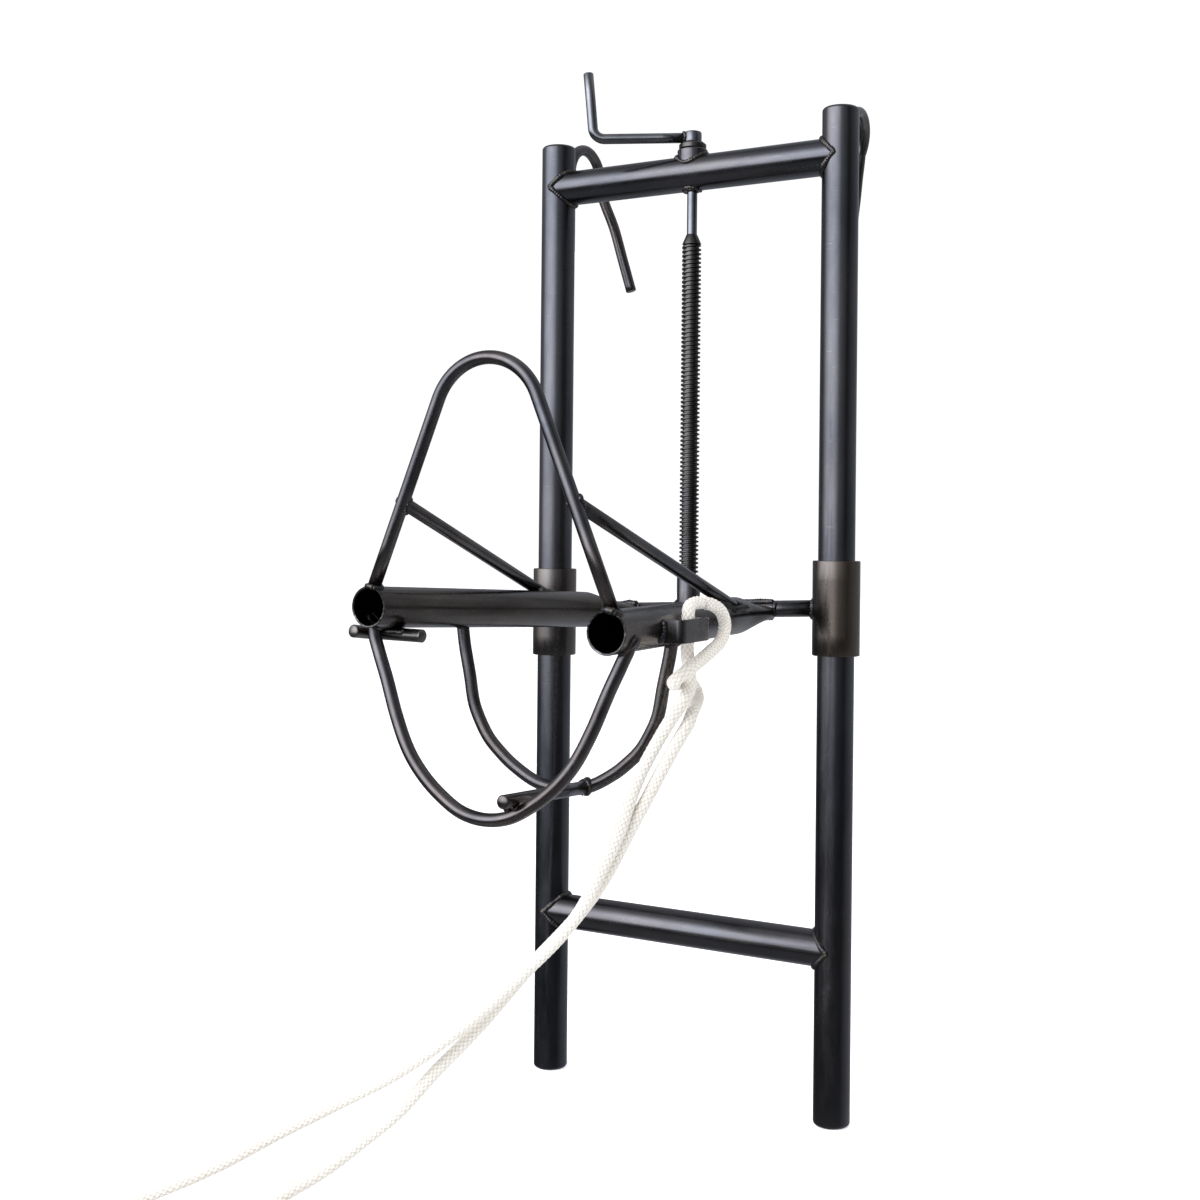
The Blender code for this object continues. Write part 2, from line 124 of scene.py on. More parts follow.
def new_material(name):
    mat = bpy.data.materials.new(name)
    mat.use_nodes = True
    tree = mat.node_tree
    tree.nodes.clear()
    out = tree.nodes.new("ShaderNodeOutputMaterial")
    shader = tree.nodes.new("ShaderNodeBsdfPrincipled")
    tree.links.new(shader.outputs[0], out.inputs[0])
    return mat, tree, shader


def add_node(tree, kind, inputs=None, **settings):
    node = tree.nodes.new(kind)
    for key, value in settings.items():
        setattr(node, key, value)
    for key, value in (inputs or {}).items():
        if isinstance(value, bpy.types.NodeSocket):
            tree.links.new(value, node.inputs[key])
        else:
            node.inputs[key].default_value = value
    return node


def mapped(tree, scale):
    place = add_node(tree, "ShaderNodeTexCoord").outputs["Object"]
    return add_node(tree, "ShaderNodeMapping", {"Vector": place, "Scale": scale}).outputs[0]


def noise_at(tree, where, scale, detail=4.0, rough=0.55):
    node = add_node(tree, "ShaderNodeTexNoise",
                    {"Vector": where, "Scale": scale, "Detail": detail, "Roughness": rough})
    return node.outputs["Fac"]


def ramp(tree, fac, *stops):
    node = add_node(tree, "ShaderNodeValToRGB", {"Fac": fac})
    elements = node.color_ramp.elements
    while len(elements) < len(stops):
        elements.new(0.5)
    for element, (place, colour) in zip(elements, stops):
        element.position = place
        element.color = (*colour, 1.0)
    return node.outputs["Color"]


def mix(tree, fac, a, b, mode="MIX"):
    node = tree.nodes.new("ShaderNodeMix")
    node.data_type = "RGBA"
    node.blend_type = mode
    for socket, value in ((node.inputs[0], fac), (node.inputs[6], a), (node.inputs[7], b)):
        if isinstance(value, bpy.types.NodeSocket):
            tree.links.new(value, socket)
        else:
            socket.default_value = value
    return node.outputs[2]


def spread(tree, fac, low, high, to_low, to_high):
    ends = {"Value": fac, 1: low, 2: high, 3: to_low, 4: to_high}
    return add_node(tree, "ShaderNodeMapRange", ends).outputs[0]


def roughen(tree, shader, height, strength, depth):
    """Give the surface a fine relief; depth is in metres."""
    bump = add_node(tree, "ShaderNodeBump", {"Height": height, "Strength": strength, "Distance": depth})
    tree.links.new(bump.outputs[0], shader.inputs["Normal"])


def steel(name, black, brown, tint, rough, stretch=(1, 1, 1), grain=0.05, specks=0.55):
    """Blackened steel: dark scale with brown heat tints, fine grain, scuffs and bright specks."""
    mat, tree, shader = new_material(name)
    body = mapped(tree, stretch)
    plain = mapped(tree, (1, 1, 1))
    clouds = noise_at(tree, body, 9.0, 5.0, 0.6)
    tinted = tuple(b + (w - b) * tint for b, w in zip(black, brown))
    colour = ramp(tree, clouds, (0.36, black), (0.68, tinted))
    drift = noise_at(tree, body, 34.0, 6.0, 0.65)
    shade = ramp(tree, drift, (0.3, (0.72, 0.72, 0.74)), (0.7, (1.25, 1.22, 1.18)))
    colour = mix(tree, 1.0, colour, shade, "MULTIPLY")
    scuffs = noise_at(tree, mapped(tree, (60, 60, 900)), 1.0, 3.0, 0.6)
    colour = mix(tree, spread(tree, scuffs, 0.66, 0.74, 0.0, 0.22), colour, (0.32, 0.31, 0.30, 1))
    dots = add_node(tree, "ShaderNodeTexVoronoi", {"Vector": plain, "Scale": 260.0})
    worn = noise_at(tree, plain, 26.0, 3.0)
    near = spread(tree, dots.outputs["Distance"], 0.0, 0.12, 1.0, 0.0)
    patch = spread(tree, worn, 0.60, 0.72, 0.0, specks)
    spots = add_node(tree, "ShaderNodeMath", {0: near, 1: patch}, operation="MULTIPLY").outputs[0]
    colour = mix(tree, spots, colour, (0.6, 0.57, 0.52, 1))
    tree.links.new(colour, shader.inputs["Base Color"])
    shader.inputs["Metallic"].default_value = 1.0
    haze = noise_at(tree, body, 60.0, 6.0, 0.7)
    tree.links.new(spread(tree, haze, 0.3, 0.7, rough - 0.07, rough + 0.09), shader.inputs["Roughness"])
    roughen(tree, shader, noise_at(tree, plain, 900.0, 4.0, 0.7), grain, 0.0006)
    return mat


def weld_metal():
    """Weld beads: dark metal with bronze and blue heat colours and small glints."""
    mat, tree, shader = new_material("weld_bead")
    plain = mapped(tree, (1, 1, 1))
    tint = noise_at(tree, plain, 130.0, 5.0, 0.65)
    colour = ramp(tree, tint, (0.28, (0.04, 0.04, 0.045)), (0.48, (0.075, 0.07, 0.07)),
                  (0.60, (0.12, 0.10, 0.08)), (0.74, (0.07, 0.07, 0.085)))
    glint = spread(tree, noise_at(tree, plain, 620.0, 3.0), 0.66, 0.74, 0.0, 0.7)
    colour = mix(tree, glint, colour, (0.62, 0.60, 0.56, 1))
    tree.links.new(colour, shader.inputs["Base Color"])
    shader.inputs["Metallic"].default_value = 1.0
    tree.links.new(spread(tree, tint, 0.3, 0.7, 0.24, 0.44), shader.inputs["Roughness"])
    roughen(tree, shader, noise_at(tree, plain, 700.0, 5.0), 0.35, 0.0008)
    return mat


def cut_metal():
    """The sawn rim of a tube: scratched across, bright in patches, dark where the scale holds."""
    mat, tree, shader = new_material("sawn_edge")
    plain = mapped(tree, (1, 1, 1))
    patches = noise_at(tree, plain, 150.0, 5.0, 0.6)
    colour = ramp(tree, patches, (0.42, (0.05, 0.048, 0.046)), (0.58, (0.10, 0.095, 0.09)),
                  (0.72, (0.42, 0.40, 0.38)))
    tree.links.new(colour, shader.inputs["Base Color"])
    shader.inputs["Metallic"].default_value = 1.0
    tree.links.new(spread(tree, patches, 0.3, 0.7, 0.28, 0.5), shader.inputs["Roughness"])
    roughen(tree, shader, noise_at(tree, mapped(tree, (900, 900, 120)), 1.0, 3.0), 0.5, 0.0006)
    return mat


STRANDS = 8
BRAID_STEP = 5.2


def rope_fibre():
    """White diamond braid with painted shade in the creases between strands, woven on the rope's own map: u
    round it, v along it in metres.
    """
    mat, tree, shader = new_material("rope_fibre")
    uv = add_node(tree, "ShaderNodeUVMap", uv_map="UVMap").outputs[0]
    split = add_node(tree, "ShaderNodeSeparateXYZ", {0: uv})

    def maths(kind, a, b=0.0, c=0.0):
        return add_node(tree, "ShaderNodeMath", {0: a, 1: b, 2: c}, operation=kind).outputs[0]

    around = maths("MULTIPLY", split.outputs[0], float(STRANDS))
    along = maths("DIVIDE", split.outputs[1], BRAID_STEP * MM)
    right = maths("ADD", around, along)
    left = maths("SUBTRACT", around, along)
    bulge_right = maths("SINE", maths("MULTIPLY", maths("FRACT", right), math.pi))
    bulge_left = maths("SINE", maths("MULTIPLY", maths("FRACT", left), math.pi))
    cell = maths("ADD", maths("FLOOR", right), maths("FLOOR", left))
    over = maths("FLOORED_MODULO", cell, 2.0)
    top = maths("ADD", maths("MULTIPLY", bulge_right, over),
                maths("MULTIPLY", bulge_left, maths("SUBTRACT", 1.0, over)))
    below = maths("MULTIPLY", bulge_right, bulge_left)
    height = maths("ADD", maths("MULTIPLY", top, 0.65), maths("MULTIPLY", below, 0.35))
    plain = mapped(tree, (1, 1, 1))
    yarn = noise_at(tree, plain, 1900.0, 3.0, 0.5)
    soil = noise_at(tree, plain, 24.0, 4.0)
    # painted shade: the ramp colours the low creases between the strands darker and the raised strands
    # lighter
    braid_with_crease_shade = ramp(tree, height, (0.05, (0.54, 0.49, 0.41)), (0.35, (0.78, 0.74, 0.67)),
                 (0.8, (0.90, 0.87, 0.82)))
    colour = mix(tree, spread(tree, soil, 0.35, 0.75, 0.0, 0.30), braid_with_crease_shade, (0.74, 0.68, 0.57, 1))
    colour = mix(tree, spread(tree, yarn, 0.4, 0.65, 0.0, 0.12), colour, (0.70, 0.66, 0.58, 1))
    tree.links.new(colour, shader.inputs["Base Color"])
    shader.inputs["Roughness"].default_value = 0.62
    shader.inputs["Sheen Weight"].default_value = 0.25
    roughen(tree, shader, maths("ADD", height, maths("MULTIPLY", yarn, 0.25)), 0.6, 0.0008)
    return mat


BLACK = (0.085, 0.087, 0.095)
BROWN = (0.19, 0.135, 0.09)
TUBE_STEEL = steel("tube_steel", BLACK, BROWN, 0.15, 0.22, (1, 1, 0.25))
BAR_STEEL = steel("bar_steel", BLACK, BROWN, 0.2, 0.20, (0.3, 1, 1))
ARM_STEEL = steel("arm_steel", (0.08, 0.078, 0.078), BROWN, 0.6, 0.26, (1, 0.3, 1))
SLEEVE_STEEL = steel("sleeve_steel", (0.085, 0.082, 0.082), (0.18, 0.138, 0.10), 0.85, 0.25, (1.4, 1.4, 0.12))
ROD_STEEL = steel("rod_steel", (0.09, 0.09, 0.097), BROWN, 0.35, 0.24, grain=0.08, specks=0.8)
CRANK_STEEL = steel("crank_steel", (0.17, 0.175, 0.185), BROWN, 0.1, 0.18, specks=0.3)
SCREW_STEEL = steel("screw_steel", (0.075, 0.073, 0.07), (0.12, 0.10, 0.08), 0.5, 0.26, grain=0.1,
                    specks=0.9)
LUG_STEEL = steel("lug_steel", (0.085, 0.085, 0.088), BROWN, 0.3, 0.27, grain=0.06, specks=0.9)
CLEAT_STEEL = steel("cleat_steel", (0.13, 0.125, 0.12), (0.24, 0.19, 0.13), 0.6, 0.3, grain=0.08,
                    specks=1.0)
WELD = weld_metal()
SAWN = cut_metal()
ROPE = rope_fibre()


# ---------------------------------------------------------------- shapes

def face_outwards(mesh):
    work = bmesh.new()
    work.from_mesh(mesh)
    bmesh.ops.recalc_face_normals(work, faces=work.faces)
    work.to_mesh(mesh)
    work.free()


def add_piece(name, points, faces, mats, body, replaces=(), slot=None, sharp=32.0, uv=None, face_mats=None):
    mesh = bpy.data.meshes.new(name)
    mesh.from_pydata([tuple(p) for p in points], [], [tuple(f) for f in faces])
    if uv is not None:
        layer = mesh.uv_layers.new(name="UVMap")
        layer.data.foreach_set("uv", np.asarray(uv, dtype=np.float32).ravel())
    mats = mats if isinstance(mats, (list, tuple)) else [mats]
    for mat in mats:
        mesh.materials.append(mat)
    if face_mats is not None:
        mesh.polygons.foreach_set("material_index", face_mats)
    if uv is None:
        face_outwards(mesh)
    mesh.polygons.foreach_set("use_smooth", [True] * len(mesh.polygons))
    mesh.set_sharp_from_angle(angle=math.radians(sharp))
    mesh.update()
    obj = bpy.data.objects.new(name, mesh)
    bpy.context.scene.collection.objects.link(obj)
    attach(obj, body)
    if replaces:
        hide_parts(*([replaces] if isinstance(replaces, str) else replaces))
    return obj


def ring_faces(rows, cols, closed):
    faces = []
    for i in range(rows if closed else rows - 1):
        a, b = i * cols, ((i + 1) % rows) * cols
        for j in range(cols):
            k = (j + 1) % cols
            faces.append((a + j, a + k, b + k, b + j))
    if not closed:
        faces.append(tuple(reversed(range(cols))))
        faces.append(tuple(range((rows - 1) * cols, rows * cols)))
    return faces


def square_axes(direction):
    side = Vector((1, 0, 0)) if abs(direction.x) < 0.8 else Vector((0, 1, 0))
    u = direction.cross(side).normalized()
    return u, direction.cross(u).normalized()


def circle(centre, u, v, radius, sides):
    turn = [2 * math.pi * i / sides for i in range(sides)]
    return [centre + (u * math.cos(a) + v * math.sin(a)) * radius for a in turn]


def turned(name, start, end, profile, mats, body, hollow=False, sides=72, **more):
    """A lathe shape; profile is (radius, distance from start)."""
    start, end = at(*start), at(*end)
    axis = (end - start).normalized()
    u, v = square_axes(axis)
    points = []
    for r, s in profile:
        points += circle(start + axis * (s * MM), u, v, r * MM, sides)
    return add_piece(name, points, ring_faces(len(profile), sides, hollow), mats, body, **more)


def frames_along(points):
    """Carry a square pair of axes along a path without twist."""
    tangents = []
    for i in range(len(points)):
        before, after = points[max(i - 1, 0)], points[min(i + 1, len(points) - 1)]
        tangents.append((after - before).normalized())
    u, v = square_axes(tangents[0])
    axes = []
    for i in range(len(points)):
        if i:
            swing = tangents[i - 1].rotation_difference(tangents[i])
            u, v = swing @ u, swing @ v
        axes.append((u.copy(), v.copy()))
    return tangents, axes


def rod(name, path, radius, body, mats=None, sides=24, edge=0.6, **more):
    """A round rod with slightly broken edges at its cut ends."""
    points = [at(*p) for p in path]
    tangents, axes = frames_along(points)
    rings = []
    last = len(points) - 1
    for i, point in enumerate(points):
        u, v = axes[i]
        if i == 0:
            rings.append(circle(point, u, v, (radius - edge) * MM, sides))
            rings.append(circle(point + tangents[0] * edge * MM, u, v, radius * MM, sides))
        elif i == last:
            rings.append(circle(point - tangents[i] * edge * MM, u, v, radius * MM, sides))
            rings.append(circle(point, u, v, (radius - edge) * MM, sides))
        else:
            rings.append(circle(point, u, v, radius * MM, sides))
    flat = [p for ring in rings for p in ring]
    faces = ring_faces(len(rings), sides, False)
    return add_piece(name, flat, faces, mats or ROD_STEEL, body, sharp=50.0, **more)


def rounded(points, per_span):
    """Pass a smooth curve through given points."""
    pts = [Vector(p) for p in points]
    pts = [pts[0] * 2 - pts[1]] + pts + [pts[-1] * 2 - pts[-2]]
    path = []
    for i in range(1, len(pts) - 2):
        p0, p1, p2, p3 = pts[i - 1:i + 3]
        t1 = math.sqrt((p1 - p0).length)
        t2 = t1 + math.sqrt((p2 - p1).length)
        t3 = t2 + math.sqrt((p3 - p2).length)
        for n in range(per_span):
            t = t1 + (t2 - t1) * n / per_span
            a1 = p0.lerp(p1, t / t1)
            a2 = p1.lerp(p2, (t - t1) / (t2 - t1))
            a3 = p2.lerp(p3, (t - t2) / (t3 - t2))
            b1 = a1.lerp(a2, t / t2)
            b2 = a2.lerp(a3, (t - t1) / (t3 - t1))
            path.append(b1.lerp(b2, (t - t1) / (t2 - t1)))
    path.append(pts[-2])
    return path


def bend(centre, radius, across, up, first, last, steps):
    centre, across, up = Vector(centre), Vector(across), Vector(up)
    turn = [math.radians(first + (last - first) * i / steps) for i in range(steps + 1)]
    return [centre + (across * math.cos(a) + up * math.sin(a)) * radius for a in turn]


def cope(obj, *bars):
    """Trim a piece where it meets round tubes: each bar is (start, end, radius)."""
    for start, end, radius in bars:
        a, b = at(*start), at(*end)
        axis = (b - a).normalized()
        u, v = square_axes(axis)
        points = circle(a, u, v, radius * MM, 72) + circle(b, u, v, radius * MM, 72)
        mesh = bpy.data.meshes.new("trim")
        mesh.from_pydata([tuple(p) for p in points], [], ring_faces(2, 72, False))
        face_outwards(mesh)
        tool = bpy.data.objects.new("trim", mesh)
        bpy.context.scene.collection.objects.link(tool)
        cutter = obj.modifiers.new("trim", "BOOLEAN")
        cutter.operation = "DIFFERENCE"
        cutter.solver = "EXACT"
        cutter.object = tool
        graph = bpy.context.evaluated_depsgraph_get()
        done = bpy.data.meshes.new_from_object(obj.evaluated_get(graph))
        obj.modifiers.clear()
        obj.data = done
        bpy.data.objects.remove(tool, do_unlink=True)
    return obj


def saddle(point, direction, radius, tube_point, tube_direction, tube_r, count=48):
    """The line where a round rod meets a round tube, walking round the rod."""
    p0, d = Vector(point), Vector(direction).normalized()
    q, w = Vector(tube_point), Vector(tube_direction).normalized()
    u, v = square_axes(d)
    line = []
    for i in range(count):
        a = 2 * math.pi * i / count
        o = p0 + (u * math.cos(a) + v * math.sin(a)) * radius
        m = (o - q) - w * (o - q).dot(w)
        n = d - w * d.dot(w)
        aa, bb, cc = n.dot(n), m.dot(n), m.dot(m) - tube_r * tube_r
        disc = bb * bb - aa * cc
        t = (-bb - math.sqrt(disc)) / aa if disc > 0 else -bb / aa
        line.append(o + d * t)
    return line


def distances(path):
    """How far along the path each of its points lies."""
    steps = [0.0]
    for a, b in zip(path, path[1:]):
        steps.append(steps[-1] + (b - a).length)
    return steps


WELD_SIZE, WELD_STEP, WELD_RIPPLE = 1.25, 0.55, 2.5


def bead(name, line, size, body, closed=True, seed=0.0):
    """A rippled weld bead along a line."""
    pts = [Vector(p) for p in line]
    if closed:
        pts.append(pts[0])
    steps = distances(pts)
    total = steps[-1]
    count = max(int(total / WELD_STEP), 8)
    path = []
    for i in range(count if closed else count + 1):
        s = total * (i / count)
        k = min(max(int(np.searchsorted(steps, s, side="right")) - 1, 0), len(pts) - 2)
        span = steps[k + 1] - steps[k]
        path.append(pts[k].lerp(pts[k + 1], (s - steps[k]) / span if span else 0.0))
    sides = 12
    points = []
    for i, spot in enumerate(path):
        before = path[i - 1] if (closed or i) else path[0]
        after = path[(i + 1) % len(path)] if (closed or i < len(path) - 1) else path[-1]
        way = (after - before).normalized()
        u, v = square_axes(way)
        wander = noise.noise(spot * 0.11 + Vector((seed, 0, 0)))
        ripple = 0.16 * abs(math.sin(i * WELD_STEP * math.pi / WELD_RIPPLE + wander))
        swell = size * WELD_SIZE * (0.92 + ripple + 0.45 * wander)
        if not closed:
            swell *= min(1.0, 0.25 + 0.75 * min(i, len(path) - 1 - i) / 4.0)
        for j in range(sides):
            a = 2 * math.pi * j / sides
            lump = 1 + 0.12 * noise.noise(spot * 0.5 + Vector((math.cos(a), math.sin(a), seed)))
            p = spot + (u * math.cos(a) + v * math.sin(a)) * swell * lump
            points.append(at(*p))
    return add_piece(name, points, ring_faces(len(path), sides, closed), WELD, body, sharp=70.0)


# ---------------------------------------------------------------- places on the carriage

def cross_z(x):
    return CROSS_Z + CROSS_SLOPE * x


def arm_x(y):
    return ARM_FRONT_X - ARM_TOE * (y - ARM_FRONT_Y)


def arm_z(side, y):
    share = (y - ARM_FRONT_Y) / -ARM_FRONT_Y
    return ARM_FRONT_Z[side] + (ARM_REAR_Z[side] - ARM_FRONT_Z[side]) * share


def arm_axis(side, y):
    return (side * arm_x(y), y, arm_z(side, y))


def arm_way(side):
    return Vector(arm_axis(side, -100)) - Vector(arm_axis(side, -300))


def arm_saddle(side, point, direction, y, count=48):
    """The line where a rod meets an arm tube near y."""
    return saddle(point, direction, ROD_R, arm_axis(side, y), arm_way(side), TUBE_R, count)


def arm_bar(side, radius):
    return (arm_axis(side, ARM_FRONT_Y - 20), arm_axis(side, -30), radius)


def nose_x(z):
    tangent_z = NOSE_ARCH_Z + NOSE_ARCH_R * math.sin(NOSE_LEAN)
    return NOSE_ARCH_R * math.cos(NOSE_LEAN) + math.tan(NOSE_LEAN) * (tangent_z - z)


# ---------------------------------------------------------------- rope

def hitch_and_legs():
    hitch_a = [(123, -218.6, 494), (122, -229, 494), (122, -240, 491), (123.6, -245, 483),
               (124.3, -245.5, 472), (123, -245, 460), (122, -242, 449), (122, -238, 437),
               (121, -237, 424), (117, -244, 411), (111, -250.5, 399)]
    leg_a = [(103, -254, 384), (94, -259, 365), (86, -264, 344), (77, -272, 309), (67.5, -278.5, 284),
             (47, -291, 238), (4, -315, 186), (-39, -337, 143), (-83, -357, 108), (-126, -378, 82),
             (-162, -408.8, 60.4), (-195.7, -441, 38.7), (-232.4, -476.7, 20.5), (-262, -508, 8.5),
             (-279, -532, 5.7), (-292.5, -565, 5.6)]
    hitch_b = [(123, -217.4, 494), (125, -204, 492), (127, -191, 486), (128, -185.5, 477),
               (129.5, -190, 468), (131.5, -203, 460.5), (133.5, -222, 455), (134.3, -242, 449),
               (134, -258, 444), (131, -268, 439), (124, -269, 433), (117, -256, 429.5),
               (109.3, -238, 427.5), (107, -215, 427), (106, -203, 425), (107, -196.5, 419.5),
               (110, -199, 413.5), (114.5, -211, 409), (120, -229, 404), (121.5, -239, 396)]
    leg_b = [(117, -246, 384), (108, -251, 365), (98, -255, 344), (87.5, -259.5, 322), (76, -262.5, 299),
             (61, -268, 268), (40, -278.5, 235), (11, -294, 199), (-30, -317, 143), (-59, -334, 108),
             (-81, -353, 77), (-102.4, -369, 55.4), (-122.9, -394.8, 34.8), (-142, -421.3, 20.5),
             (-157, -446, 9), (-169, -470, 5.6), (-175.5, -494, 5.6)]
    return (hitch_a + leg_a, COIL_A), (hitch_b + leg_b, COIL_B)


def coil_path(centre, length):
    """A flat coil on the floor: a full outer turn, then inwards beside itself."""
    path = []
    run, angle = 0.0, math.pi
    while run < length:
        turned_by = math.degrees(angle) - 180
        share = min(max((turned_by - 250) / 95, 0.0), 1.0)
        ease = share * share * (3 - 2 * share)
        r = COIL_OUTER_R + (COIL_INNER_R - COIL_OUTER_R) * ease
        spot = Vector((centre[0] + r * math.cos(angle), centre[1] + r * math.sin(angle), ROPE_D / 2 + 0.1))
        if path:
            run += (spot - path[-1]).length
        path.append(spot)
        angle += math.radians(6)
    return path


def resample(path, step):
    steps = distances(path)
    count = int(round(steps[-1] / step))
    out = []
    for i in range(count + 1):
        s = steps[-1] * i / count
        k = min(max(int(np.searchsorted(steps, s, side="right")) - 1, 0), len(path) - 2)
        out.append(path[k].lerp(path[k + 1], (s - steps[k]) / (steps[k + 1] - steps[k])))
    return out


def braided_tube(name, path, body, nodes):
    """A tube whose skin carries the braid's strands in relief."""
    sides = 32
    points = [at(*p) for p in path]
    tangents, axes = frames_along(points)
    along = distances(points)
    verts = []
    for i, spot in enumerate(points):
        u, v = axes[i]
        s = along[i] / (BRAID_STEP * MM)
        end = min(i, len(points) - 1 - i)
        close = 1.0 if end > 2 else (0.55, 0.8, 0.93)[end]
        for j in range(sides):
            turn = STRANDS * j / sides
            right, left = turn + s, turn - s
            over = (math.floor(right) + math.floor(left)) % 2
            top = math.sin(math.pi * ((right if over else left) % 1.0))
            below = math.sin(math.pi * (right % 1.0)) * math.sin(math.pi * (left % 1.0))
            r = (ROPE_D / 2 - 0.42 + 0.42 * (0.65 * top + 0.35 * below)) * close
            a = 2 * math.pi * j / sides
            verts.append(spot + (u * math.cos(a) + v * math.sin(a)) * (r * MM))
    faces, uv = [], []
    for i in range(len(points) - 1):
        for j in range(sides):
            k = (j + 1) % sides
            faces.append((i * sides + k, i * sides + j, (i + 1) * sides + j, (i + 1) * sides + k))
            uv += [((j + 1) / sides, along[i]), (j / sides, along[i]),
                   (j / sides, along[i + 1]), ((j + 1) / sides, along[i + 1])]
    for row, flip in ((0, False), (len(points) - 1, True)):
        cap = [row * sides + j for j in range(sides)]
        faces.append(tuple(reversed(cap)) if flip else tuple(cap))
        uv += [(0.5, along[row])] * sides
    obj = add_piece(name, verts, faces, ROPE, body, replaces=nodes, slot="rope", sharp=80.0, uv=uv)
    face_outwards(obj.data)
    return obj


def whipping(name, path, body):
    """Thread wound tightly round the rope's cut end."""
    step, wrap = 0.25, 0.9
    points = [at(*p) for p in resample(path[-12:-3], step)]
    _, axes = frames_along(points)
    sides = 32
    verts = []
    for i, spot in enumerate(points):
        u, v = axes[i]
        edge = min(i, len(points) - 1 - i)
        r = ROPE_D / 2 + 0.35 + 0.22 * math.sin(i * step * 2 * math.pi / wrap)
        if edge < 2:
            r = ROPE_D / 2 - 0.6 + 0.5 * edge
        verts += circle(spot, u, v, r * MM, sides)
    faces = ring_faces(len(points), sides, False)
    return add_piece(name, verts, faces, THREAD, body, slot="rope", sharp=80.0)


def thread_material():
    mat, tree, shader = new_material("whipping_thread")
    fibre = noise_at(tree, mapped(tree, (1, 1, 1)), 900.0, 4.0)
    colour = ramp(tree, fibre, (0.35, (0.45, 0.40, 0.31)), (0.65, (0.72, 0.67, 0.56)))
    tree.links.new(colour, shader.inputs["Base Color"])
    shader.inputs["Roughness"].default_value = 0.7
    roughen(tree, shader, fibre, 0.4, 0.0004)
    return mat


THREAD = thread_material()


def make_ropes():
    for letter, (points, centre) in zip("ab", hitch_and_legs()):
        run = rounded(points, 6)
        start = coil_path(centre, 1.0)[0]
        lead = distances(run)[-1] + (start - run[-1]).length
        path = resample(run + coil_path(centre, ROPE_LENGTH - lead), 1.0)
        nodes = ["rope_leg_" + letter, "rope_coil_" + letter]
        rope = braided_tube("rope_" + letter, path, "carriage", nodes)
        band = whipping("rope_whipping_" + letter, path, "carriage")


make_ropes()


# ---------------------------------------------------------------- frame pieces

def make_upright(side):
    x = side * HALF_SPACING
    name = SIDES[side]
    edge = 3.4
    low_end = []
    for i in range(9):
        a = math.pi / 2 * i / 8
        low_end.append((TUBE_R - edge + edge * math.sin(a), edge * (1 - math.cos(a))))
    profile = [(2.0, 0.0)] + low_end
    heights = [(TUBE_R, z) for z in range(20, 940, 40)]
    profile += heights + [(r, UPRIGHT_HEIGHT - s) for r, s in reversed(low_end)] + [(2.0, UPRIGHT_HEIGHT)]
    nodes = ["upright_" + name, "upright_cap_top_" + name, "upright_cap_bottom_" + name]
    turned("upright_tube_" + name, (x, 0, 0), (x, 0, UPRIGHT_HEIGHT), profile, TUBE_STEEL, "frame",
           sides=96, replaces=nodes, slot="tube_steel")


def make_bar(name, z, node):
    profile = [(TUBE_R, s) for s in range(0, 311, 31)]
    turned(name, (-HALF_SPACING, 0, z), (HALF_SPACING, 0, z), profile, BAR_STEEL, "frame", sides=96,
           replaces=node, slot="tube_steel")
    for side in (-1, 1):
        x = side * HALF_SPACING
        line = saddle((0, 0, z), (side, 0, 0), TUBE_R, (x, 0, 0), (0, 0, 1), TUBE_R, 96)
        bead("weld_%s_%s" % (name, SIDES[side]), line, 2.1, "frame", seed=z * 0.01 + side)


def hook_path(side):
    x = side * HALF_SPACING
    lean = HOOK_LEAN[side]
    path = [Vector((x, HOOK_LEG_Y, z)) for z in (848, 870, 900)]
    arch = bend((x, RAIL_BACK, HOOK_BEND_Z), HOOK_BEND_R, (0, -1, 0), (0, 0, 1), 0, 180, 28)
    path += [p - Vector((lean * (i / 28) ** 3, 0, 0)) for i, p in enumerate(arch)]
    end_y = RAIL_BACK + HOOK_BEND_R
    tail = [(x - lean, end_y, HOOK_BEND_Z), (side * 154 - lean, end_y + 0.4, 921),
            (side * 149.5 - 0.85 * lean, end_y + 2.5, 907), (side * 141 - 0.48 * lean, end_y + 5.5, 884),
            (side * 131.5 - 0.2 * lean, end_y + 8.5, 849), (side * 122, end_y + 11, 815)]
    return path + rounded(tail, 6)[1:]


def make_hook(side):
    name = SIDES[side]
    rod("hook_rod_" + name, hook_path(side), ROD_R, "frame", replaces="hook_" + name, slot="rod_steel")
    x = side * HALF_SPACING
    for flank in (-1, 1):
        line = [(x + flank * 3.6, TUBE_R + 1.6, z) for z in np.linspace(850, 896, 40)]
        bead("weld_hook_%s_%s" % (name, "in" if flank * side < 0 else "out"), line, 2.4, "frame",
             closed=False, seed=flank + 3.0 * side)
    foot = [(x + 4.6 * math.cos(a), TUBE_R + 2.0 + 2.2 * math.sin(a), 848.5)
            for a in np.linspace(0, math.pi, 12)]
    bead("weld_hook_%s_foot" % name, foot, 1.7, "frame", closed=False, seed=side + 7.0)


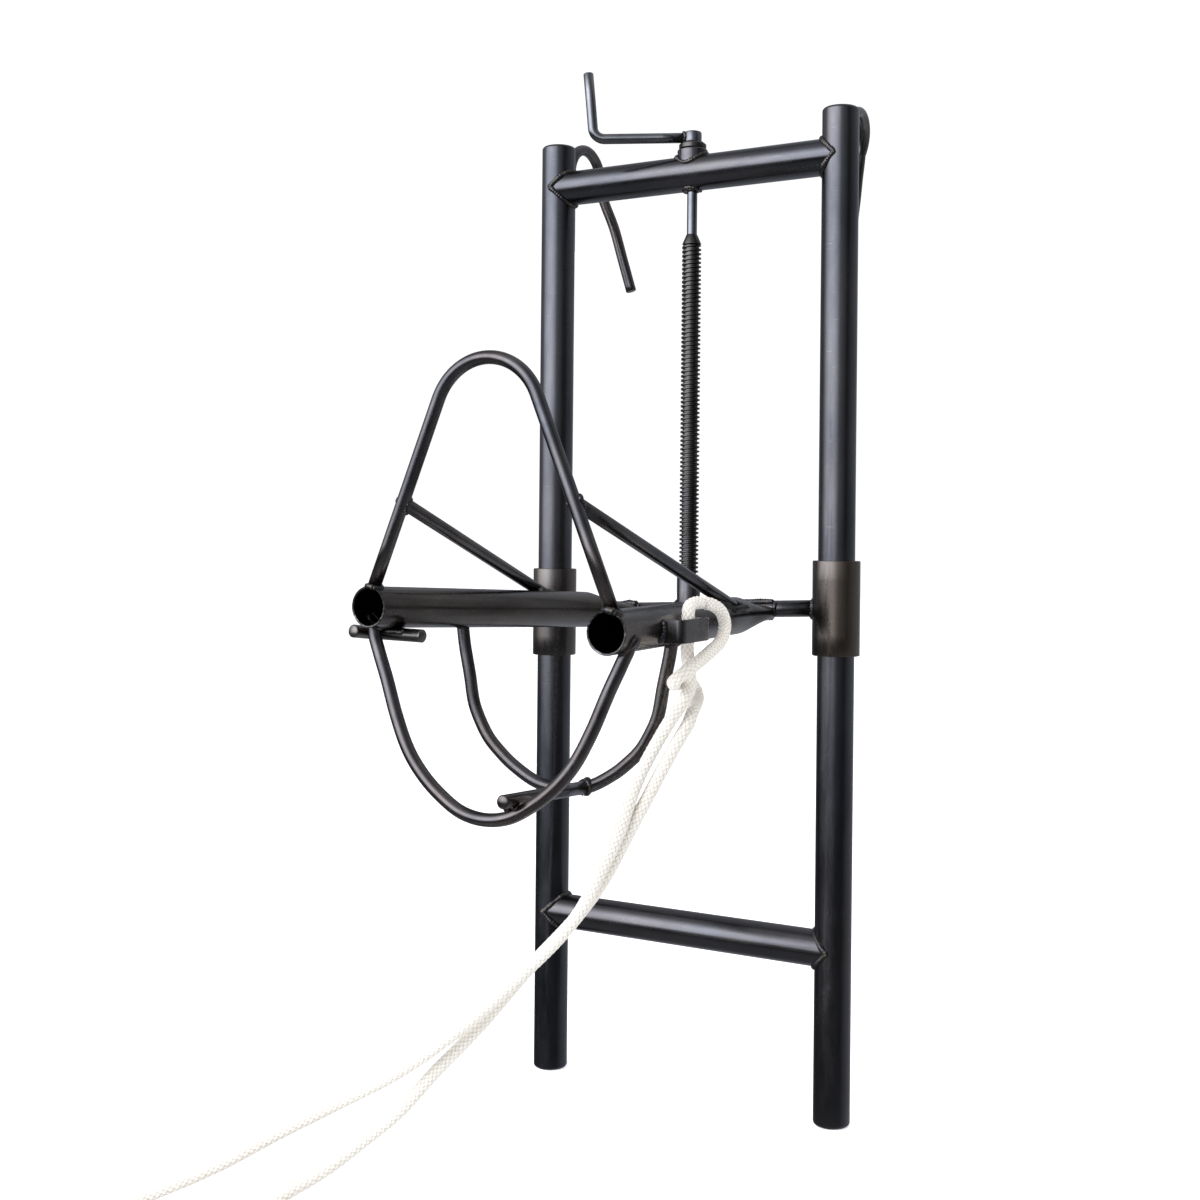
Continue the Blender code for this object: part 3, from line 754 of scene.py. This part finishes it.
def make_bushing():
    low = TOP_BAR_Z - TUBE_R - 1.0
    length = BOSS_TOP_Z - low
    profile = [(7.5, 0), (8.0, 0.6), (8.0, length), (5.5, length), (5.5, 0)]
    turned("bushing_tube", (0, 0, low), (0, 0, BOSS_TOP_Z), profile, SCREW_STEEL, "frame", hollow=True,
           replaces="screw_bushing", slot="screw_steel")
    height = BOSS_TOP_Z - TOP_BAR_Z
    profile = [(15.0, 4), (15.0, height - 1.2), (13.9, height), (8.1, height), (8.1, 4)]
    boss = turned("bushing_boss_ring", (0, 0, TOP_BAR_Z), (0, 0, BOSS_TOP_Z), profile, BAR_STEEL, "frame",
                  hollow=True, replaces="bushing_boss", slot="tube_steel")
    cope(boss, ((-40, 0, TOP_BAR_Z), (40, 0, TOP_BAR_Z), TUBE_R - 0.6))
    line = saddle((0, 0, 960), (0, 0, -1), 15.2, (0, 0, TOP_BAR_Z), (1, 0, 0), TUBE_R, 72)
    bead("weld_boss", line, 1.9, "frame", seed=5.0)
    under = saddle((0, 0, 860), (0, 0, 1), 8.2, (0, 0, TOP_BAR_Z), (1, 0, 0), TUBE_R, 48)
    bead("weld_bushing_under", under, 1.5, "frame", seed=6.0)


for side in SIDES:
    make_upright(side)
    make_hook(side)
make_bar("top_bar_tube", TOP_BAR_Z, "top_bar")
make_bar("bottom_bar_tube", BOTTOM_BAR_Z, "bottom_bar")
make_bushing()


# ---------------------------------------------------------------- crank and screw

def make_crank():
    """A bent handle rod welded to the side of a hub on the screw's shaft."""
    reach = math.hypot(CRANK_X, CRANK_Y)
    out = Vector((CRANK_X / reach, CRANK_Y / reach, 0))
    elbow_r = 12.0
    path = [Vector((CRANK_X * splay, CRANK_Y * splay, z))
            for splay, z in ((CRANK_SPLAY, CRANK_TOP_Z), (1.024, 982))]
    elbow = out * (reach - elbow_r) + Vector((0, 0, CRANK_ARM_Z + elbow_r))
    path += bend(elbow, elbow_r, out, (0, 0, -1), 0, 90, 14)
    path += [out * r + Vector((0, 0, CRANK_ARM_Z)) for r in (60, 30, 4)]
    handle = rod("crank", path, CRANK_R, "crank", mats=CRANK_STEEL, sides=32, edge=0.9,
                 replaces="crank_rod", slot="rod_steel")
    cope(handle, ((0, 0, 930), (0, 0, 960), HUB_R - 0.6))
    low, high = 846.0, HUB_TOP_Z
    hub = COLLAR_TOP_Z - low
    top = high - low
    profile = [(CRANK_R, 0), (CRANK_R, hub), (HUB_R - 0.8, hub), (HUB_R, hub + 0.8), (HUB_R, top - 2.0),
               (HUB_R - 0.6, top - 0.7), (HUB_R - 2.2, top)]
    turned("shaft", (0, 0, low), (0, 0, high), profile, CRANK_STEEL, "crank", replaces="crank_shaft",
           slot="rod_steel")
    line = saddle((0, 0, CRANK_ARM_Z), out, CRANK_R, (0, 0, 0), (0, 0, 1), HUB_R, 40)
    line = [Vector((-p.x, -p.y, p.z)) if p.dot(out) < 0 else p for p in line]
    bead("weld_hub", line, 1.5, "crank", seed=9.0)
    low = BOSS_TOP_Z + 0.3
    profile = [(12.6, 0), (13.5, 0.8), (13.5, 4.4), (12.7, 5.2), (5.1, 5.2), (5.1, 0)]
    turned("thrust_washer", (0, 0, low), (0, 0, low + 5.2), profile, SCREW_STEEL, "crank", hollow=True,
           replaces="thrust_collar", slot="screw_steel")
    line = [(9.2 * math.cos(a), 9.2 * math.sin(a), low + 5.6) for a in np.linspace(0, 2 * math.pi, 40)[:-1]]
    bead("weld_collar", line, 1.5, "crank", seed=8.0)


def make_screw():
    """A cut trapezoid thread, right-handed, between plain ends."""
    rows_per_turn = 12
    corners = (0, 1 / 3, 1 / 2, 5 / 6, 1)
    radii = (SCREW_R, SCREW_R, SCREW_ROOT_R, SCREW_ROOT_R, SCREW_R)
    shape = [float(np.interp(i / rows_per_turn, corners, radii)) for i in range(rows_per_turn)]
    sides = 48
    low, high = SCREW_LOW_Z, SCREW_SHOULDER_Z
    step, run_out = SCREW_PITCH / rows_per_turn, 1.5
    first = -rows_per_turn - 2
    last = int((high - low) / step) + 4
    points, index = [], {}
    for i in range(first, last):
        for j in range(sides):
            z = low + i * step + SCREW_PITCH * j / sides
            r = shape[i % rows_per_turn]
            held = min(max(z, low), high)
            rim = min(held - low, high - held)
            if rim < run_out:
                r = min(r, SCREW_ROOT_R + (SCREW_R - SCREW_ROOT_R) * max(rim, 0) / run_out)
            a = 2 * math.pi * j / sides
            index[i, j] = len(points)
            points.append(at(r * math.cos(a), r * math.sin(a), held))
    faces = []
    for i in range(first, last - 1):
        for j in range(sides):
            if j < sides - 1:
                faces.append((index[i, j], index[i, j + 1], index[i + 1, j + 1], index[i + 1, j]))
            elif i + rows_per_turn + 1 < last:
                k = i + rows_per_turn
                faces.append((index[i, j], index[k, 0], index[k + 1, 0], index[i + 1, j]))
    obj = add_piece("screw_thread", points, faces, SCREW_STEEL, "crank", replaces="lead_screw",
                    slot="screw_steel", sharp=40.0)
    work = bmesh.new()
    work.from_mesh(obj.data)
    bmesh.ops.remove_doubles(work, verts=work.verts, dist=1e-6)
    work.to_mesh(obj.data)
    work.free()
    cone = [(SCREW_ROOT_R, 0), (SCREW_R - 0.1, 1), (SCREW_R - 0.2, 1.6), (CRANK_R + 0.9, 9.6),
            (CRANK_R + 0.1, 11)]
    turned("screw_cone", (0, 0, SCREW_SHOULDER_Z - 1), (0, 0, SCREW_TOP_Z), cone, SCREW_STEEL, "crank",
           slot="screw_steel")
    tip = [(SCREW_ROOT_R - 1.2, 0), (SCREW_ROOT_R, 1.0), (SCREW_ROOT_R, 3)]
    turned("screw_tip", (0, 0, SCREW_LOW_Z - 0.3), (0, 0, SCREW_LOW_Z + 3), tip, SCREW_STEEL, "crank",
           slot="screw_steel")


make_crank()
make_screw()


# ---------------------------------------------------------------- carriage pieces

def make_sleeve(side):
    x = side * HALF_SPACING
    name = SIDES[side]
    n = SLEEVE_LENGTH
    low = SLEEVE_Z[side] - n / 2
    profile = [(SLEEVE_R - 0.9, 0), (SLEEVE_R - 0.3, 0.25), (SLEEVE_R, 0.9), (SLEEVE_R, 20), (SLEEVE_R, 45),
               (SLEEVE_R, 70), (SLEEVE_R, n - 0.9), (SLEEVE_R - 0.3, n - 0.25), (SLEEVE_R - 0.9, n),
               (SLEEVE_BORE_R + 0.4, n), (SLEEVE_BORE_R, n - 0.4), (SLEEVE_BORE_R, 0.4),
               (SLEEVE_BORE_R + 0.4, 0)]
    turned("sleeve_tube_" + name, (x, 0, low), (x, 0, low + n), profile, SLEEVE_STEEL, "carriage",
           hollow=True, sides=96, replaces="sleeve_" + name, slot="tube_steel")
    profile = [(CROSS_R, s) for s in (0, 80, 155)]
    bar = turned("cross_rod_" + name, (0, 0, cross_z(0)), (x, 0, cross_z(x)), profile, ROD_STEEL,
                 "carriage", sides=48, replaces="cross_bar_" + name, slot="tube_steel")
    cope(bar, ((0, 0, 440), (0, 0, 530), NUT_R - 0.6), ((x, 0, 420), (x, 0, 540), SLEEVE_R - 0.8))
    way = (side, 0, CROSS_SLOPE * side)
    outer = saddle((0, 0, cross_z(0)), way, CROSS_R, (x, 0, 0), (0, 0, 1), SLEEVE_R)
    bead("weld_cross_sleeve_" + name, outer, 2.2, "carriage", seed=side + 11.0)
    inner = saddle((x, 0, cross_z(x)), (-way[0], 0, -way[2]), CROSS_R, (0, 0, 0), (0, 0, 1), NUT_R)
    bead("weld_cross_nut_" + name, inner, 2.0, "carriage", seed=side + 15.0)


def make_nut():
    height = NUT_TOP_Z - NUT_LOW_Z
    profile = [(NUT_R - 0.9, 0), (NUT_R, 1.0), (NUT_R, height - 2.2), (NUT_R - 0.5, height - 0.8),
               (NUT_R - 1.2, height), (NUT_BORE_R, height), (NUT_BORE_R, 0)]
    turned("nut_barrel", (0, 0, NUT_LOW_Z), (0, 0, NUT_TOP_Z), profile, ROD_STEEL, "carriage", hollow=True,
           replaces="lift_nut", slot="screw_steel")


def arm_section(side, y, crush, radius_in, sides):
    centre = Vector(arm_axis(side, y))
    half_w = TUBE_R + (21.5 - TUBE_R) * crush - radius_in
    half_h = TUBE_R + (7.5 - TUBE_R) * crush - radius_in
    power = 1 - 0.35 * crush
    ring = []
    for j in range(sides):
        a = 2 * math.pi * j / sides
        ca = math.copysign(abs(math.cos(a)) ** power, math.cos(a))
        sa = math.copysign(abs(math.sin(a)) ** power, math.sin(a))
        dent = 1.0
        if crush:
            dent -= 0.10 * crush * (1 - crush) * 4 * max(math.sin(a), 0) ** 2
        ring.append(Vector((centre.x + half_w * ca, y, centre.z + half_h * sa * dent)))
    return ring


def make_arm(side):
    """Open and roughly sawn at the front; crushed in a press on the cross bar behind."""
    name = SIDES[side]
    wall = TUBE_R - ARM_BORE_R
    stations = [(ARM_FRONT_Y, 0.0), (ARM_FRONT_Y + 0.7, 0.0)]
    stations += [(y, 0.0) for y in range(-330, -64, 44)]
    for i in range(15):
        share = i / 14
        stations.append((-66 + 50 * share, share * share * (3 - 2 * share)))
    stations.append((-4.0, 1.0))
    sides = 80
    outer, inner = [], []
    for n, (y, crush) in enumerate(stations):
        trim = 0.55 if n == 0 else 0.0
        ring_out = arm_section(side, y, crush, trim, sides)
        ring_in = arm_section(side, y, crush, wall - trim * 0.8, sides)
        if n == 0:
            for j in range(sides):
                rough = 0.45 * noise.noise(Vector((j * 0.45, side * 3.1, 0.4))) + 0.15 * math.sin(j * 1.9)
                ring_out[j].y += rough
                ring_in[j].y += rough * 0.8 + 0.2
        outer.append(ring_out)
        inner.append(ring_in)
    rings = outer + inner[::-1]
    points = [at(*p) for ring in rings for p in ring]
    faces = ring_faces(len(rings), sides, True)
    bands = []
    for i in range(len(rings)):
        sawn = i in (0, len(rings) - 1, len(rings) - 2)
        bands += [1 if sawn else 0] * sides
    arm = add_piece("arm_tube_" + name, points, faces, [ARM_STEEL, SAWN], "carriage", face_mats=bands,
                    replaces="arm_" + name, slot="tube_steel")
    cope(arm, ((side * 20, 0, cross_z(side * 20)), (side * 130, 0, cross_z(side * 130)), CROSS_R - 0.6))
    x = arm_x(-5)
    for up in (-1, 1):
        y = -CROSS_R * math.cos(math.radians(52))
        rise = up * CROSS_R * math.sin(math.radians(62))
        line = [(px, y, cross_z(px) + rise) for px in side * x + np.linspace(-20.5, 20.5, 40)]
        bead("weld_arm_%s_%s" % (name, "over" if up > 0 else "under"), line, 2.4, "carriage",
             closed=False, seed=side + 20.0 * up)
    for end in (-1, 1):
        px = side * x + end * 21.5
        line = [(px, -CROSS_R * math.cos(a), cross_z(px) + CROSS_R * math.sin(a))
                for a in np.linspace(-1.0, 1.0, 16)]
        bead("weld_arm_%s_%s" % (name, "a" if end < 0 else "b"), line, 1.9, "carriage",
             closed=False, seed=end + 31.0)


def make_nose_loop():
    lean = math.degrees(NOSE_LEAN)
    feet = {side: arm_z(side, NOSE_Y) + 6 for side in SIDES}
    path = [Vector((-nose_x(z), NOSE_Y, z)) for z in (feet[-1], 540, 580, 620)]
    path += bend((0, NOSE_Y, NOSE_ARCH_Z), NOSE_ARCH_R, (-1, 0, 0), (0, 0, 1), lean, 180 - lean, 36)
    path += [Vector((nose_x(z), NOSE_Y, z)) for z in (620, 580, 540, feet[1])]
    loop = rod("nose_rod", path, ROD_R, "carriage", replaces="nose_loop", slot="rod_steel")
    cope(loop, arm_bar(-1, TUBE_R - 1.2), arm_bar(1, TUBE_R - 1.2))
    for side in SIDES:
        way = Vector((side * math.tan(NOSE_LEAN), 0, -1))
        line = arm_saddle(side, (side * nose_x(560), NOSE_Y, 560), way, NOSE_Y)
        bead("weld_nose_" + SIDES[side], line, 2.1, "carriage", seed=side + 41.0)


def make_brace(side):
    top = Vector((side * nose_x(574), NOSE_Y, 574))
    end = Vector((side * 96.5, -104.0, arm_z(side, -104.0) + 11.0))
    name = SIDES[side]
    path = [top, top.lerp(end, 0.33), top.lerp(end, 0.66), end]
    brace = rod("brace_rod_" + name, path, ROD_R, "carriage", replaces="brace_" + name, slot="rod_steel")
    low = (side * nose_x(530), NOSE_Y, 530)
    high = (side * nose_x(620), NOSE_Y, 620)
    cope(brace, (low, high, ROD_R - 1.0), arm_bar(side, TUBE_R - 1.0))
    leg_way = Vector(low) - Vector(high)
    line = saddle(end, top - end, ROD_R, top, leg_way, ROD_R, 32)
    bead("weld_brace_nose_" + name, line, 1.9, "carriage", seed=side + 47.0)
    line = arm_saddle(side, top, end - top, -104)
    line = [p for p in line if (p - end).length < 34]
    bead("weld_brace_arm_" + name, line, 2.2, "carriage", closed=len(line) == 48, seed=side + 53.0)


def both_halves(half):
    return [(-x, z) for x, z in half[:0:-1]] + half


def make_cradles():
    front = [(0, 322.8), (22.3, 326.4), (42.5, 337), (62.7, 352.7), (78.9, 371.4), (93.1, 397.7),
             (105.8, 428.1), (116.5, 451.5), (121.6, 464), (122.5, 478)]
    path = []
    for x, z in both_halves(front):
        lean = min(max((z - 322.8) / 142.7, 0), 1)
        path.append((x, -353 + 13 * lean, z))
    loop = rod("front_cradle_rod", rounded(path, 6), ROD_R, "carriage", replaces="front_cradle_loop",
               slot="rod_steel")
    cope(loop, arm_bar(-1, TUBE_R - 1.0), arm_bar(1, TUBE_R - 1.0))
    rear = [(0, 331.9), (25.3, 335.5), (50.3, 348.4), (63.8, 358.7), (75.9, 370.4), (85, 384.6),
            (91.9, 399.7), (96.7, 424), (102.7, 451.9), (105.2, 470)]
    path = [(x, -236.0, z) for x, z in both_halves(rear)]
    loop = rod("rear_cradle_rod", rounded(path, 6), ROD_R, "carriage", replaces="rear_cradle_loop",
               slot="rod_steel")
    cope(loop, arm_bar(-1, TUBE_R - 1.0), arm_bar(1, TUBE_R - 1.0))
    for side in SIDES:
        name = SIDES[side]
        line = arm_saddle(side, (side * 121.9, -340, 440), (0, 0, 1), -340)
        bead("weld_front_cradle_" + name, line, 2.2, "carriage", seed=side + 61.0)
        line = arm_saddle(side, (side * 104.5, -236, 430), (side * 0.08, 0, 1), -236)
        bead("weld_rear_cradle_" + name, line, 2.0, "carriage", seed=side + 67.0)


def make_chin_bar():
    front, rear = Vector((26.3, -368.0, 341.2)), Vector((24.8, -240.5, 335.9))
    path = [front, front.lerp(rear, 0.3), front.lerp(rear, 0.7), rear]
    rod("chin_rod", path, ROD_R, "carriage", edge=0.9, replaces="chin_bar", slot="rod_steel")
    cross = Vector((26.0, -353.2, 333.6))
    for flank in (-1, 1):
        line = [(cross.x + flank * 4.2, cross.y + dy, cross.z + 0.4) for dy in np.linspace(-4.5, 4.5, 10)]
        bead("weld_chin_front_%s" % ("a" if flank < 0 else "b"), line, 2.2, "carriage",
             closed=False, seed=flank + 71.0)
    line = saddle(front, rear - front, ROD_R, (24.8, -236, 335.4), (1, 0, 0.25), ROD_R, 32)
    bead("weld_chin_rear", line, 2.0, "carriage", seed=75.0)


def make_lug():
    """A flat bar bent into a staple on the outer side of the right arm."""
    thick, stand_off, corner, half_height = 3.0, 13.2, 5.0, 9.5
    toe = Vector((-ARM_TOE, 1, 0)).normalized()
    out = Vector((toe.y, -toe.x, 0))
    base = Vector((arm_x(-253.0), -253.0, 0))
    first, last = -30 / toe.y, 30 / toe.y
    far = TUBE_R + stand_off + thick / 2
    foot = 15.6
    line = [(first, foot), (first, far - corner)]
    line += [(first + corner * (1 - math.cos(a)), far - corner + corner * math.sin(a))
             for a in np.linspace(0.15, math.pi / 2, 8)]
    line += [(first + corner + (last - first - 2 * corner) * t, far) for t in (0.25, 0.5, 0.75)]
    line += [(last - corner * (1 - math.cos(a)), far - corner + corner * math.sin(a))
             for a in np.linspace(math.pi / 2, 0.15, 8)]
    line += [(last, far - corner), (last, foot)]
    e = 0.7
    outline = []
    for cx, cz, start in ((thick / 2 - e, half_height - e, 0), (-thick / 2 + e, half_height - e, 90),
                          (-thick / 2 + e, -half_height + e, 180), (thick / 2 - e, -half_height + e, 270)):
        for k in range(4):
            a = math.radians(start + 30 * k)
            outline.append((cx + e * math.cos(a), cz + e * math.sin(a)))
    points = []
    for i, (s, w) in enumerate(line):
        before = Vector(line[max(i - 1, 0)])
        after = Vector(line[min(i + 1, len(line) - 1)])
        way = (after - before).normalized()
        normal = Vector((-way.y, way.x))
        for n, dz in outline:
            spot = base + toe * (s + normal.x * n) + out * (w + normal.y * n)
            points.append(at(spot.x, spot.y, LUG_Z + dz))
    add_piece("rope_staple", points, ring_faces(len(line), len(outline), False), LUG_STEEL, "carriage",
              replaces="rope_lug", slot="tube_steel", sharp=45.0)
    for s, label in ((first, "front"), (last, "rear")):
        for flank in (-1, 1):
            weld = []
            for dz in np.linspace(-9.5, 9.5, 24):
                height = LUG_Z + dz - arm_z(1, -253)
                reach = math.sqrt(max(TUBE_R ** 2 - height ** 2, 0))
                spot = base + toe * (s + flank * 2.2) + out * reach
                weld.append((spot.x, spot.y, LUG_Z + dz))
            bead("weld_lug_%s_%s" % (label, "a" if flank < 0 else "b"), weld, 2.0, "carriage", closed=False,
                 seed=s + flank)


def make_cleat():
    path = rounded([(-80, -328.5, 463.8), (-96, -328.5, 464.2), (-112, -328.5, 464.5),
                    (-124, -329.5, 464.8), (-132, -333.5, 465.2), (-136.3, -341, 466),
                    (-137, -350, 467)], 8)
    rod("cleat_rod", path, ROD_R, "carriage", mats=CLEAT_STEEL, edge=0.9, replaces="cleat_hook",
        slot="rod_steel")
    for flank in (-1, 1):
        line = [(x, -328.5 + flank * 4.6, 465.6 + 1.2 * math.sin((x + 132) / 44 * math.pi))
                for x in np.linspace(-130, -96, 24)]
        bead("weld_cleat_%s" % ("front" if flank < 0 else "back"), line, 2.2, "carriage",
             closed=False, seed=81.0 + flank)


for side in SIDES:
    make_sleeve(side)
    make_arm(side)
    make_brace(side)
make_nut()
make_nose_loop()
make_cradles()
make_chin_bar()
make_lug()
make_cleat()


# ---------------------------------------------------------------- floor, light and sky

FLOOR_GLOW = 0.5
KEY_WAY = (-0.438, -0.899, 0.0)
BACK_WAY = (0.35, 0.937, 0.0)
WINDOW_EDGE = (0.62, 0.99)
WINDOW_SILL = (-0.19, 0.0)
WINDOW_HEAD = (0.45, 0.8)
WINDOW_GLOW = 3.1
BACK_GLOW = 0.36
ROOM_GLOW = 0.07
FLOOR_SHINE = 0.2
HALO_GLOW = 0.5
CEILING_GLOW = 0.25


def make_floor():
    mesh = bpy.data.meshes.new("floor")
    half = 14.0
    z = -HANG_HEIGHT * MM - 0.0004
    corners = [(-half, -half, z), (half, -half, z), (half, half, z), (-half, half, z)]
    mesh.from_pydata(corners, [], [(0, 1, 2, 3)])
    mat, tree, shader = new_material("floor_paint")
    speckle = noise_at(tree, mapped(tree, (1, 1, 1)), 3.0, 5.0)
    colour = ramp(tree, speckle, (0.3, (0.93, 0.93, 0.93)), (0.7, (0.96, 0.96, 0.96)))
    seen = add_node(tree, "ShaderNodeLightPath").outputs["Is Camera Ray"]
    tree.links.new(colour, shader.inputs["Base Color"])
    shader.inputs["Emission Color"].default_value = (1, 1, 1, 1)
    glow = add_node(tree, "ShaderNodeMath", {0: seen, 1: FLOOR_GLOW}, operation="MULTIPLY")
    tree.links.new(glow.outputs[0], shader.inputs["Emission Strength"])
    shader.inputs["Roughness"].default_value = 0.85
    shader.inputs["Specular IOR Level"].default_value = 0.1
    mesh.materials.append(mat)
    obj = bpy.data.objects.new("floor", mesh)
    bpy.context.scene.collection.objects.link(obj)
    obj.visible_glossy = False


def soft_light(name, place, aim, size, power, colour):
    data = bpy.data.lights.new(name, "AREA")
    data.shape = "RECTANGLE"
    data.size, data.size_y = size
    data.energy = power
    data.color = colour
    obj = bpy.data.objects.new(name, data)
    bpy.context.scene.collection.objects.link(obj)
    place, aim = Vector(place), Vector(aim)
    obj.location = place
    obj.rotation_euler = (aim - place).to_track_quat("-Z", "Y").to_euler()
    obj.visible_glossy = False
    return obj


def make_sky():
    """White to the eye and even for cloth; steel mirrors a dark room with a tall window on the left."""
    world = bpy.data.worlds.new("studio")
    bpy.context.scene.world = world
    world.use_nodes = True
    tree = world.node_tree
    tree.nodes.clear()
    out = tree.nodes.new("ShaderNodeOutputWorld")
    path = add_node(tree, "ShaderNodeLightPath")
    way = add_node(tree, "ShaderNodeTexCoord").outputs["Generated"]
    split = add_node(tree, "ShaderNodeSeparateXYZ", {0: way})

    def maths(kind, a, b=0.0):
        return add_node(tree, "ShaderNodeMath", {0: a, 1: b}, operation=kind).outputs[0]

    def vectors(kind, inputs, output):
        return add_node(tree, "ShaderNodeVectorMath", inputs, operation=kind).outputs[output]

    flat = vectors("MULTIPLY", {0: way, 1: (1.0, 1.0, 0.0)}, "Vector")
    flat = vectors("NORMALIZE", {0: flat}, "Vector")
    key = vectors("DOT_PRODUCT", {0: flat, 1: KEY_WAY}, "Value")
    back = vectors("DOT_PRODUCT", {0: flat, 1: BACK_WAY}, "Value")
    up = split.outputs[2]
    window = spread(tree, key, *WINDOW_EDGE, 0.0, WINDOW_GLOW)
    halo = spread(tree, key, -0.2, 0.64, 0.0, HALO_GLOW)
    fade = spread(tree, up, *WINDOW_SILL, 0.0, 1.0)
    sill = maths("MULTIPLY", maths("MULTIPLY", fade, fade), spread(tree, up, 0.0, 0.3, 1.0, 1.3))
    head = spread(tree, up, *WINDOW_HEAD, 1.0, 0.12)
    height = maths("MULTIPLY", sill, head)
    bright = maths("MULTIPLY", maths("ADD", window, halo), height)
    behind = spread(tree, back, 0.1, 0.9, 0.0, BACK_GLOW)
    room = maths("ADD", maths("ADD", bright, behind), ROOM_GLOW)
    ceiling = spread(tree, up, 0.35, 0.9, 0.0, CEILING_GLOW)
    below = spread(tree, up, -0.6, -0.3, FLOOR_SHINE, 0.0)
    room = maths("ADD", room, maths("ADD", ceiling, below))
    mirrored = mix(tree, 1.0, room, (0.90, 0.96, 1.08, 1), "MULTIPLY")
    fill = mix(tree, path.outputs["Is Diffuse Ray"], mirrored, (0.62, 0.62, 0.63, 1))
    seen = mix(tree, path.outputs["Is Camera Ray"], fill, (1.05, 1.05, 1.05, 1))
    glow = add_node(tree, "ShaderNodeBackground", {"Color": seen, "Strength": 1.0})
    tree.links.new(glow.outputs[0], out.inputs[0])


make_floor()
make_sky()
middle = at(0, -120, 520)
soft_light("key", (-0.95, -2.15, 0.25), middle, (1.25, 2.1), 42.0, (0.95, 0.97, 1.0))
soft_light("top", (0.2, -0.9, 1.9), middle, (1.8, 1.8), 26.0, (1.0, 0.985, 0.96))
soft_light("edge", (2.0, 0.9, 0.1), middle, (0.5, 2.0), 14.0, (1.0, 1.0, 1.0))
bpy.context.scene.view_settings.view_transform = "Standard"
